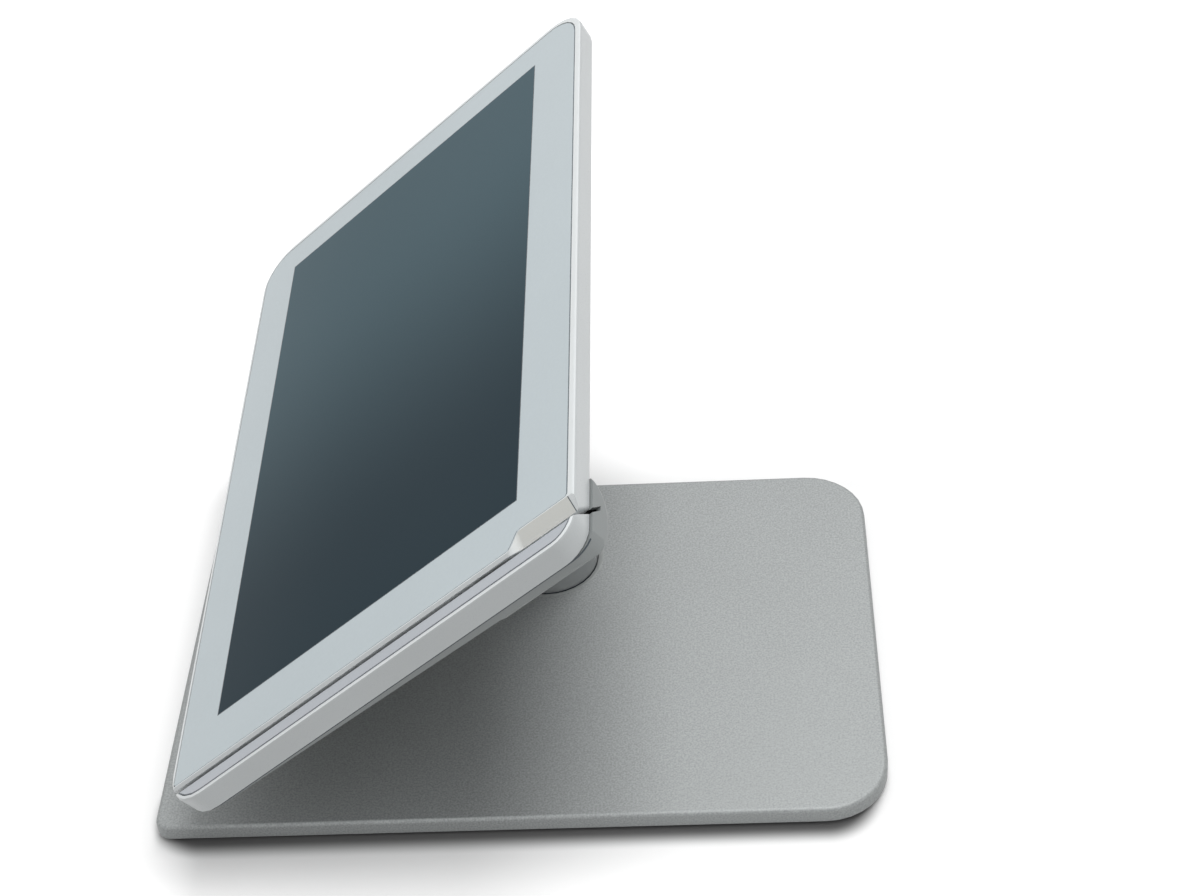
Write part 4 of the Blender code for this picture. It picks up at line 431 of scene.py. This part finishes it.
def make_finishes(scene):
    base, neck, display = scene.terminal_base, scene.terminal_neck, scene.terminal_display
    FINISHES.update({
        "satin_silver": grained_finish(
            "painted_metal", base.metal, roughness=0.55, size=base.speckle_size, mottle=0.19,
            depth=0.035 * MM, metallic=0.55),
        "lightened_slope": grained_finish(
            "lightened_slope", base.slope, roughness=0.35, size=0.4 * MM, depth=0.01 * MM,
            metallic=0.35),
        "neck_metal": grained_finish(
            "neck_metal", neck.metal, roughness=0.4, size=0.4 * MM, metallic=0.35),
        "case_white": grained_finish(
            "white_plastic", display.white, roughness=0.32, size=0.35 * MM, mottle=0.02,
            depth=0.006 * MM, specular=0.4),
        "case_grey": grained_finish(
            "grey_plastic", display.grey, roughness=0.45, size=0.35 * MM, mottle=0.03,
            depth=0.01 * MM, metallic=0.1, specular=0.35),
        "cover_glass": grained_finish(
            "printed_border", display.border, roughness=0.2, size=1.2 * MM, mottle=0.012,
            depth=0.0, specular=0.2, haze=0.03),
        "panel": picture_finish(display),
        "lip": grained_finish(
            "lit_lip", display.lip, roughness=0.2, size=0.35 * MM, mottle=0.01, depth=0.0,
            specular=0.4, haze=0.03),
        "glass_edge_shade": grained_finish(
            "glass_edge_shade", display.glass_edge_shade, roughness=0.25, size=0.5 * MM, mottle=0.03,
            depth=0.0),
        "lead_in": lead_in_finish(display),
        "slot_wall_light": grained_finish(
            "slot_wall_light", display.wall_light, roughness=0.3, size=0.5 * MM, mottle=0.01, depth=0.0),
        "strip_lavender": grained_finish(
            "lavender_strip", display.strip, roughness=0.16, size=0.8 * MM, mottle=0.015,
            depth=0.0, specular=0.3, haze=0.03),
        "rubber": grained_finish(
            "foot_rubber", tone(44, 45, 47), roughness=0.8, size=0.6 * MM, mottle=0.12,
            depth=0.04 * MM),
        "black_plastic": grained_finish(
            "black_plastic", tone(38, 39, 41), roughness=0.45, size=0.3 * MM, mottle=0.06),
        "slip_plastic": grained_finish(
            "slip_plastic", tone(222, 218, 206), roughness=0.4, size=0.5 * MM, mottle=0.02,
            depth=0.01 * MM),
        "board_green": grained_finish(
            "circuit_board", tone(30, 92, 62), roughness=0.38, size=0.7 * MM, mottle=0.1,
            depth=0.01 * MM),
        "copper": grained_finish(
            "copper_sheet", tone(206, 150, 118), roughness=0.3, size=0.5 * MM, mottle=0.05,
            depth=0.008 * MM, metallic=1.0),
        "magnesium": grained_finish(
            "cast_chassis", tone(150, 152, 154), roughness=0.5, size=0.8 * MM, mottle=0.06,
            depth=0.03 * MM, metallic=0.7),
        "bare_steel": brushed_finish(
            "bare_steel", tone(188, 190, 193), roughness=0.32, stretch=(1, 1, 0.12)),
        # Painted shade for the gaps, seams and hollows, and the dark line printed round the
        # picture
        "shade_and_print_line": grained_finish(
            "shade_and_print_line", tone(52, 62, 70), roughness=0.3, size=0.5 * MM, mottle=0.05, depth=0.0),
        "white_mark": grained_finish(
            "white_mark", tone(214, 216, 218), roughness=0.5, size=0.3 * MM, mottle=0.03,
            depth=0.0),
    })


# Shapes


def copied_form(node):
    """A merged copy of a CAD node, its flat triangles joined into whole faces."""
    form = bmesh.new()
    form.from_mesh(NODES[node].data)
    bmesh.ops.remove_doubles(form, verts=form.verts, dist=MERGE_DISTANCE)
    bmesh.ops.dissolve_limit(
        form, angle_limit=FLAT_ANGLE, verts=form.verts, edges=form.edges)
    return form


def split_faces(form, place, across):
    """Cuts the faces that a plane goes through, and keeps both sides."""
    bmesh.ops.bisect_plane(
        form, geom=form.verts[:] + form.edges[:] + form.faces[:], dist=MERGE_DISTANCE,
        plane_co=place, plane_no=across)


def bend(edge):
    return edge.calc_face_angle(0.0)


def ease_edges(form, width, segments=EDGE_SEGMENTS, chosen=None):
    """Rounds the sharp edges, or those among them that are chosen."""
    edges = [
        edge for edge in form.edges
        if edge.is_manifold and bend(edge) > SHARP_ANGLE and (chosen is None or chosen(edge))]
    bmesh.ops.bevel(
        form, geom=edges, offset=width, offset_type="OFFSET", segments=segments, profile=0.5,
        affect="EDGES", clamp_overlap=True, material=-1)


def settle_piece(form, name, body, finishes, replaced):
    """Makes the shape an object that rides on a body, smooth except at its sharp edges.

    It takes the names of its finishes, in the order of its faces' material numbers.
    """
    for face in form.faces:
        face.smooth = True
    for edge in form.edges:
        edge.smooth = bend(edge) < SHARP_ANGLE
    mesh = bpy.data.meshes.new(name)
    form.to_mesh(mesh)
    form.free()
    for finish in finishes:
        mesh.materials.append(FINISHES[finish])
    piece = bpy.data.objects.new(name, mesh)
    bpy.context.scene.collection.objects.link(piece)
    even = piece.modifiers.new("even_shading", "WEIGHTED_NORMAL")
    even.keep_sharp = True
    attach(piece, body)
    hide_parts(*replaced)


def mark_facing(form, facing, index):
    """Gives one material to the faces that face one way on the screen."""
    turn = screen_matrix().to_3x3().inverted()
    for face in form.faces:
        if (turn @ face.normal).dot(facing) > SAME_FACING:
            face.material_index = index


def mark_lip(form, index, most_lean):
    """Gives one material to the front lip, up to where it leans too far to the slot's side. It is
    a lighter copy of the white plastic: a painted highlight where the light falls on the front.
    """
    turn = screen_matrix().to_3x3().inverted()
    for face in form.faces:
        facing = turn @ face.normal
        if facing.z > LIP_LEAST_FACING and facing.x < most_lean:
            face.material_index = index


def fine_copy(node, width):
    """Builds the CAD node again, with its edges eased and its finish on."""
    form = copied_form(node)
    ease_edges(form, width)
    settle_piece(
        form, f"{node}_finished", BODY_OF[node], [SLOT_OF[node]], [node])


def finish_nodes(*nodes):
    """Gives carried-over CAD nodes their finish through their objects."""
    for node in nodes:
        for entry in NODES[node].material_slots:
            entry.link = "OBJECT"
            entry.material = FINISHES[SLOT_OF[node]]


def end_face(form, axis):
    """The face that lies furthest along an axis."""
    facing = [face for face in form.faces if face.normal.dot(axis) > END_FACING]
    return max(facing, key=lambda face: face.calc_center_median().dot(axis))


def screw_with_socket(node, axis, settings):
    """Builds the CAD screw again, with a key socket sunk in its head."""
    form = copied_form(node)
    head = end_face(form, axis)
    middle = head.calc_center_median()
    radius = max((vert.co - middle).length for vert in head.verts)
    rim = HEAD_RIM * radius
    bmesh.ops.inset_region(form, faces=[head], thickness=rim, depth=rim * HEAD_RIM_RISE)
    width = radius * settings.socket_share
    bmesh.ops.inset_region(form, faces=[head], thickness=radius - rim - width)
    middle = head.calc_center_median()
    first = (head.verts[0].co - middle).normalized()
    sector = 2 * math.pi / settings.sides
    for vert in head.verts:
        arm = vert.co - middle
        angle = first.angle(arm) if arm.length else 0.0
        along = (angle + sector / 2) % sector - sector / 2
        vert.co = middle + arm.normalized() * width * math.cos(sector / 2) / math.cos(along)
    sunk = bmesh.ops.extrude_discrete_faces(form, faces=[head])["faces"]
    bmesh.ops.translate(form, verts=sunk[0].verts, vec=-axis * settings.socket_depth)
    settle_piece(
        form, f"{node}_finished", BODY_OF[node], [SLOT_OF[node]], [node])


# Operators, one for each group of pieces


class BuildBase(bpy.types.Operator):
    """Builds the painted base plate and its rubber pad"""
    bl_idname = "terminal.base"
    bl_label = "Base"

    def execute(self, context):
        settings = context.scene.terminal_base
        self.build_plate(settings.edge_ease)
        fine_copy("base_pad", settings.edge_ease)
        finish_nodes("ballast_plate")
        return {"FINISHED"}

    def build_plate(self, width):
        """The base plate, its well with crisp edges, painted shade on its wall and painted light
        on its slope.
        """
        finishes = ("satin_silver", "shade_and_print_line", "lightened_slope")
        form = copied_form("base_plate")

        def beyond_well(vert):
            return (vert.co.xy - WELL_MIDDLE).length > WELL_REACH

        ease_edges(
            form, width, chosen=lambda edge: all(beyond_well(vert) for vert in edge.verts))
        for face in form.faces:
            if any(beyond_well(vert) for vert in face.verts):
                continue
            # Painted shade: the well's wall is dark, as the hollow lies in shade. Painted light:
            # the slope is lighter than the base paint, to lift its shade.
            if abs(face.normal.z) < WELL_WALL_MOST_FACING:
                face.material_index = finishes.index("shade_and_print_line")
            elif face.normal.z < WELL_SLOPE_MOST_FACING:
                face.material_index = finishes.index("lightened_slope")
        settle_piece(
            form, "base_plate_finished", BODY_OF["base_plate"], finishes,
            ["base_plate"])


class BuildNeck(bpy.types.Operator):
    """Builds the neck, its swivel and its hinge"""
    bl_idname = "terminal.neck"
    bl_label = "Neck and hinge"

    def execute(self, context):
        settings = context.scene.terminal_neck
        for node in ("hinge_bracket", "hinge_cap_left", "hinge_cap_right"):
            fine_copy(node, settings.edge_ease)
        self.build_neck(settings)
        finish_nodes(
            "slip_washer", "swivel_shaft", "swivel_retainer", "swivel_stop_pin",
            "friction_washer_left", "friction_washer_right", "hinge_shaft", "hinge_nut_left",
            "hinge_nut_right")
        return {"FINISHED"}

    def build_neck(self, settings):
        """The neck, painted dark as shade at the foot where it goes down into the base."""
        finishes = ("neck_metal", "shade_and_print_line")
        form = copied_form("neck")
        ease_edges(form, settings.edge_ease)
        split_faces(form, (0, 0, settings.foot_shade_line), (0, 0, 1))
        for face in form.faces:
            if face.calc_center_median().z < settings.foot_shade_line:
                face.material_index = finishes.index("shade_and_print_line")
        settle_piece(
            form, "neck_finished", BODY_OF["neck"], finishes, ["neck"])


class BuildGlass(bpy.types.Operator):
    """Builds the cover glass with its printed border and the dark picture area"""
    bl_idname = "terminal.glass"
    bl_label = "Cover glass"

    def execute(self, context):
        settings = context.scene.terminal_display
        finishes = ("cover_glass", "panel", "shade_and_print_line", "glass_edge_shade")
        form = copied_form("touch_glass")
        ease_edges(form, settings.edge_ease)
        place = screen_matrix()
        to_screen = place.inverted()
        half = Vector((settings.picture_width, settings.picture_height)) / 2
        for grown in (0.0, settings.line_width):
            for axis in (0, 1):
                for side in (-1, 1):
                    point = Vector((0, 0, 0))
                    point[axis] = side * (half[axis] + grown)
                    across = Vector((0, 0, 0))
                    across[axis] = side
                    split_faces(form, place @ point, place.to_3x3() @ across)
        turn = to_screen.to_3x3()
        out = place.to_3x3() @ Vector((0, 0, 1))
        for face in form.faces:
            middle = to_screen @ face.calc_center_median()
            # The glass's side faces are painted dark, as shade in the gap round the glass
            if face.normal.dot(out) < GLASS_FACING:
                if (turn @ face.normal).x < GLASS_EDGE_MOST_LEAN:
                    face.material_index = finishes.index("glass_edge_shade")
                continue
            beyond = max(abs(middle[axis]) - half[axis] for axis in (0, 1))
            if beyond < 0:
                face.material_index = finishes.index("panel")
            elif beyond < settings.line_width:
                face.material_index = finishes.index("shade_and_print_line")
        settle_piece(
            form, "cover_glass", "display", finishes, ["touch_glass"])
        return {"FINISHED"}


class BuildFront(bpy.types.Operator):
    """Builds the white frame round the glass"""
    bl_idname = "terminal.front"
    bl_label = "Front frame"
    finishes = ("case_white", "lead_in", "shade_and_print_line", "slot_wall_light", "lip")

    def execute(self, context):
        settings = context.scene.terminal_display
        form = copied_form("front_frame")
        to_screen = screen_matrix().inverted()
        self.round_mouth(form, to_screen, settings.mouth_round)
        ease_edges(form, settings.edge_ease)
        mark_lip(form, self.finishes.index("lip"), FRAME_LIP_MOST_LEAN)
        self.mark_lead_in(form, to_screen, settings.seam_shade_width)
        # The frame's wall of the slot is painted lighter than the white plastic, to lift the
        # shade in the slot
        mark_facing(form, SLOT_WALL_NORMAL, self.finishes.index("slot_wall_light"))
        settle_piece(
            form, "front_frame_finished", BODY_OF["front_frame"], self.finishes,
            ["front_frame"])
        return {"FINISHED"}

    def round_mouth(self, form, to_screen, width):
        """Rounds the corner of the frame where the slot comes out at the top of the case."""
        turn = to_screen.to_3x3()

        def chosen(edge):
            first, second = edge.verts
            run = turn @ (second.co - first.co)
            high = min((to_screen @ vert.co).y for vert in edge.verts)
            slanted = abs(run.normalized().dot(SLOT_MOUTH_RUN)) > MOUTH_EDGE_FACING
            return high > SEAM_START.y and slanted and run.length > width

        ease_edges(form, width, MOUTH_SEGMENTS, chosen)

    def on_lead_in(self, face, to_screen, turn):
        """Whether a face is part of the slope that leads a card into the slot."""
        facing = turn @ face.normal
        middle = to_screen @ face.calc_center_median()
        if middle.y < LEAD_IN_BEGINS or middle.x < SEAM_START.x:
            return False
        if middle.y > LEAD_IN_FULL:
            return facing.dot(LEAD_IN_NORMAL) > LEAD_IN_FACING
        return facing.x > LEAD_IN_START_LEAN and facing.z > LEAD_IN_START_FACING

    def mark_lead_in(self, form, to_screen, width):
        """Sets the lead-in's own finish, and paints the thin seam that ends it dark, as shade in
        the gap.
        """
        turn = to_screen.to_3x3()
        place = to_screen.inverted()
        across = Vector((-SEAM_RUN.y, SEAM_RUN.x, 0))

        def sloping():
            return [face for face in form.faces if self.on_lead_in(face, to_screen, turn)]

        for side in (0, width):
            faces = sloping()
            edges = dict.fromkeys(edge for face in faces for edge in face.edges)
            verts = dict.fromkeys(vert for face in faces for vert in face.verts)
            bmesh.ops.bisect_plane(
                form, geom=[*verts, *edges, *faces], dist=MERGE_DISTANCE,
                plane_co=place @ (SEAM_START + across * side),
                plane_no=place.to_3x3() @ across)
        for face in sloping():
            beyond = (to_screen @ face.calc_center_median() - SEAM_START).dot(across)
            if beyond < 0:
                face.material_index = self.finishes.index("lead_in")
            # The seam is painted shade where the lead-in meets the rim
            elif beyond < width:
                face.material_index = self.finishes.index("shade_and_print_line")


class BuildReader(bpy.types.Operator):
    """Builds the rail, the strip and the card reader beside the slot"""
    bl_idname = "terminal.reader"
    bl_label = "Card reader"

    def execute(self, context):
        settings = context.scene.terminal_display
        for node in ("reader_body", "reader_head"):
            fine_copy(node, settings.edge_ease)
        self.build_rail(settings.edge_ease)
        self.build_strip(settings.seam_shade_width)
        finish_nodes("head_holder", "head_spring")
        return {"FINISHED"}

    def build_rail(self, width):
        """The rail, whose side toward the slot is painted lighter, to lift the shade in the slot.
        """
        finishes = ("case_white", "slot_wall_light", "lip")
        form = copied_form("reader_rail")
        ease_edges(form, width)
        mark_facing(form, -SLOT_WALL_NORMAL, finishes.index("slot_wall_light"))
        mark_lip(form, finishes.index("lip"), RAIL_LIP_MOST_LEAN)
        settle_piece(
            form, "reader_rail_finished", BODY_OF["reader_rail"], finishes,
            ["reader_rail"])

    def build_strip(self, width):
        """The strip, with a line of painted shade where it meets the rail."""
        finishes = ("strip_lavender", "shade_and_print_line")
        form = copied_form("rail_strip")
        front = end_face(form, screen_matrix().to_3x3() @ Vector((0, 0, 1)))
        rim = bmesh.ops.inset_region(form, faces=[front], thickness=width)["faces"]
        for face in rim:
            face.material_index = finishes.index("shade_and_print_line")
        settle_piece(
            form, "rail_strip_finished", BODY_OF["rail_strip"], finishes,
            ["rail_strip"])


class BuildRear(bpy.types.Operator):
    """Builds the rear shell with its button and supply socket"""
    bl_idname = "terminal.rear"
    bl_label = "Rear shell"

    def execute(self, context):
        settings = context.scene.terminal_display
        self.build_shell(settings)
        self.build_button(settings)
        fine_copy("supply_socket", settings.edge_ease)
        return {"FINISHED"}

    def build_button(self, settings):
        """The power button, marked with a ring that is open at the top and a short bar."""
        finishes = ("satin_silver", "white_mark")
        form = copied_form("power_button")
        ease_edges(form, settings.edge_ease)
        plain = set(form.faces)
        turn = screen_matrix().to_3x3()
        upward, backward = turn @ Vector((0, 1, 0)), turn @ Vector((0, 0, -1))
        aside = upward.cross(backward)
        middle = end_face(form, backward).calc_center_median()
        arm = Matrix.Rotation(MARK_OPENING / 2, 3, backward) @ upward
        profile = [
            form.verts.new(
                middle + arm * (settings.mark_radius + settings.mark_line * out)
                + backward * settings.mark_proud * up)
            for out, up in ((-0.5, -1), (0.5, -1), (0.5, 1), (-0.5, 1))]
        bmesh.ops.spin(
            form, geom=[form.faces.new(profile)], cent=middle, axis=backward,
            angle=2 * math.pi - MARK_OPENING, steps=MARK_STEPS)
        place = Matrix((aside, upward, backward)).transposed().to_4x4()
        place.translation = middle + upward * settings.mark_radius * MARK_BAR_PLACE
        sides = (settings.mark_line, settings.mark_radius, 2 * settings.mark_proud)
        bmesh.ops.create_cube(form, size=1, matrix=place @ Matrix.Diagonal((*sides, 1)))
        mark = [face for face in form.faces if face not in plain]
        bmesh.ops.recalc_face_normals(form, faces=mark)
        for face in mark:
            face.material_index = finishes.index("white_mark")
        settle_piece(
            form, "power_button_finished", BODY_OF["power_button"], finishes,
            ["power_button"])

    def build_shell(self, settings):
        """The rear shell, with a line of painted shade where it meets the frame and the rail."""
        finishes = ("case_grey", "shade_and_print_line")
        form = copied_form("rear_shell")
        ease_edges(form, settings.edge_ease)
        place = screen_matrix()
        to_screen = place.inverted()
        turn = to_screen.to_3x3()
        line_end = FRAME_BACK - settings.parting_shade_width
        split_faces(
            form, place @ Vector((0, 0, line_end)), place.to_3x3() @ Vector((0, 0, 1)))
        for face in form.faces:
            middle = to_screen @ face.calc_center_median()
            facing = turn @ face.normal
            along_edge = facing.y < PARTING_MOST_UPWARD and facing.z < PARTING_MOST_FACING
            if middle.z > line_end and along_edge:
                face.material_index = finishes.index("shade_and_print_line")
        settle_piece(
            form, "rear_shell_finished", BODY_OF["rear_shell"], finishes,
            ["rear_shell"])


class BuildScrews(bpy.types.Operator):
    """Builds the screws that show, with their key sockets"""
    bl_idname = "terminal.screws"
    bl_label = "Screws"

    def execute(self, context):
        settings = context.scene.terminal_screws
        backward = screen_matrix().to_3x3() @ Vector((0, 0, -1))
        behind = [
            f"{kind}_screw_{index}" for kind, count in (("shell", 4), ("rail", 2), ("bracket", 4))
            for index in range(1, count + 1)]
        for node in behind:
            screw_with_socket(node, backward, settings)
        below = [
            f"{kind}_screw_{index}" for kind, count in (("ballast", 4), ("retainer", 3))
            for index in range(1, count + 1)]
        for node in below:
            screw_with_socket(node, Vector((0, 0, -1)), settings)
        return {"FINISHED"}


class FinishInside(bpy.types.Operator):
    """Puts their finishes on the panel, chassis and boards inside the case"""
    bl_idname = "terminal.inside"
    bl_label = "Inside of the case"

    def execute(self, context):
        finish_nodes(
            "lcd_panel", "inner_chassis", "main_board", "shield_can", "heat_spreader",
            "reader_board", "socket_board", "speaker_left", "speaker_right", "switch_board")
        return {"FINISHED"}


class BuildStage(bpy.types.Operator):
    """Builds the floor, the lamps, the even light and the camera"""
    bl_idname = "terminal.stage"
    bl_label = "Stage"

    def execute(self, context):
        scene = context.scene
        settings = scene.terminal_stage
        self.make_floor(scene, settings)
        self.make_light(scene, settings)
        self.make_camera(scene)
        scene.view_settings.view_transform = "Standard"
        return {"FINISHED"}

    def make_floor(self, scene, settings):
        form = bmesh.new()
        bmesh.ops.create_grid(form, x_segments=1, y_segments=1, size=settings.floor_side / 2)
        mesh = bpy.data.meshes.new("floor")
        form.to_mesh(mesh)
        form.free()
        finish, tree, shader = start_finish("floor", roughness=0.9, specular=0.0)
        seen = looked_at(tree)
        bounce = (settings.floor_bounce,) * 3
        look = self.shaded_look(tree, settings)
        tree.links.new(between(tree, seen, bounce, look), shader.inputs["Base Color"])
        away = self.distance_from(tree, (0, 0), BASE_HALF_SIZE)
        lift = tree.nodes.new("ShaderNodeMath")
        lift.operation = "MULTIPLY"
        tree.links.new(
            ranged(tree, away, settings.lift_start, settings.lift_end, 0,
                   settings.floor_lift, smooth=True),
            lift.inputs[0])
        tree.links.new(seen, lift.inputs[1])
        shader.inputs["Emission Color"].default_value = (1, 1, 1, 1)
        tree.links.new(lift.outputs["Value"], shader.inputs["Emission Strength"])
        mesh.materials.append(finish)
        floor = bpy.data.objects.new("floor", mesh)
        scene.collection.objects.link(floor)

    def shaded_look(self, tree, settings):
        """The floor's look. The camera sees a painted shadow on it close along the base's near
        edge.

        Gloss sees it plain, so that the edge of the base keeps its brightness.
        """
        away = self.distance_from(tree, SHADE_CORE_MIDDLE, SHADE_CORE_HALF_SIZE)
        clear = ranged(
            tree, away, SHADE_REACH + settings.shade_start, SHADE_REACH + settings.shade_end,
            0, 1, smooth=True)
        path = tree.nodes.new("ShaderNodeLightPath")
        unseen = ranged(tree, path.outputs["Is Camera Ray"], 0, 1, 1, 0)
        either = tree.nodes.new("ShaderNodeMath")
        either.operation = "MAXIMUM"
        tree.links.new(clear, either.inputs[0])
        tree.links.new(unseen, either.inputs[1])
        dark = shaded(settings.floor_look, settings.shade_keeps)
        return between(tree, either.outputs["Value"], dark, settings.floor_look)

    def distance_from(self, tree, middle, half_size):
        """How far a place on the floor is outside a rectangle."""
        value = own_coordinates(tree)
        for operation, amount in (
                ("SUBTRACT", (*middle, 0)), ("ABSOLUTE", None), ("SUBTRACT", (*half_size, 0)),
                ("MAXIMUM", (0, 0, 0)), ("LENGTH", None)):
            step = tree.nodes.new("ShaderNodeVectorMath")
            step.operation = operation
            if amount:
                step.inputs[1].default_value = amount
            tree.links.new(value, step.inputs[0])
            value = step.outputs["Value" if operation == "LENGTH" else "Vector"]
        return value

    def make_light(self, scene, settings):
        world = bpy.data.worlds.new("even_light")
        scene.world = world
        world.use_nodes = True
        tree = world.node_tree
        back = tree.nodes["Background"]
        tree.links.new(
            ranged(tree, looked_at(tree), 0, 1, settings.fill_strength, 1),
            back.inputs["Strength"])
        back.inputs["Color"].default_value = (1, 1, 1, 1)
        self.hang_lamp(
            scene, "key_lamp", settings.key_power, (settings.key_length, settings.key_width),
            KEY_LAMP_PLACE)
        self.hang_lamp(
            scene, "left_lamp", settings.left_power, (settings.left_side,) * 2,
            LEFT_LAMP_PLACE)

    def hang_lamp(self, scene, name, power, sides, place):
        """A soft lamp that looks at the middle of the base."""
        lamp = bpy.data.lights.new(name, "AREA")
        lamp.energy = power
        lamp.shape = "RECTANGLE"
        lamp.size, lamp.size_y = sides
        hung = bpy.data.objects.new(name, lamp)
        hung.location = place
        turned = Vector(place).to_track_quat("Z", "Y")
        hung.rotation_euler = turned.to_euler()
        scene.collection.objects.link(hung)

    def make_camera(self, scene):
        """The photograph's viewpoint, from its heading, tilt and roll."""
        heading, tilt, roll = (math.radians(angle) for angle in CAMERA_ANGLES)
        lens = bpy.data.cameras.new("camera")
        lens.sensor_width = CAMERA_SENSOR
        lens.lens = CAMERA_LENS
        lens.clip_start = CAMERA_NEAREST
        camera = bpy.data.objects.new("camera", lens)
        turned = (
            Matrix.Rotation(-heading, 4, "Z") @ Matrix.Rotation(math.pi / 2 - tilt, 4, "X")
            @ Matrix.Rotation(roll, 4, "Z"))
        camera.matrix_world = Matrix.Translation(CAMERA_PLACE) @ turned
        scene.collection.objects.link(camera)
        scene.camera = camera


# Panel and registration

SETTINGS = (
    ("terminal_stage", StageSettings), ("terminal_base", BaseSettings),
    ("terminal_neck", NeckSettings), ("terminal_display", DisplaySettings),
    ("terminal_screws", ScrewSettings))
OPERATORS = (
    BuildBase, BuildNeck, BuildGlass, BuildFront, BuildReader, BuildRear, BuildScrews,
    FinishInside, BuildStage)


class TerminalPanel(bpy.types.Panel):
    """Lists the operators and the sizes and colours that they use"""
    bl_idname = "VIEW3D_PT_terminal"
    bl_label = "Counter terminal"
    bl_space_type = "VIEW_3D"
    bl_region_type = "UI"
    bl_category = "Terminal"

    def draw(self, context):
        for operator in OPERATORS:
            self.layout.operator(operator.bl_idname)
        for name, group in SETTINGS:
            box = self.layout.box()
            box.label(text=group.__name__)
            for field in group.__annotations__:
                box.prop(getattr(context.scene, name), field)


def register():
    for name, group in SETTINGS:
        bpy.utils.register_class(group)
        setattr(bpy.types.Scene, name, PointerProperty(type=group))
    for operator in OPERATORS:
        bpy.utils.register_class(operator)
    bpy.utils.register_class(TerminalPanel)


def unregister():
    bpy.utils.unregister_class(TerminalPanel)
    for operator in reversed(OPERATORS):
        bpy.utils.unregister_class(operator)
    for name, group in reversed(SETTINGS):
        delattr(bpy.types.Scene, name)
        bpy.utils.unregister_class(group)


def main():
    register()
    make_finishes(bpy.context.scene)
    bpy.ops.terminal.base()
    bpy.ops.terminal.neck()
    bpy.ops.terminal.glass()
    bpy.ops.terminal.front()
    bpy.ops.terminal.reader()
    bpy.ops.terminal.rear()
    bpy.ops.terminal.screws()
    bpy.ops.terminal.inside()
    bpy.ops.terminal.stage()


if __name__ == "__main__":
    main()
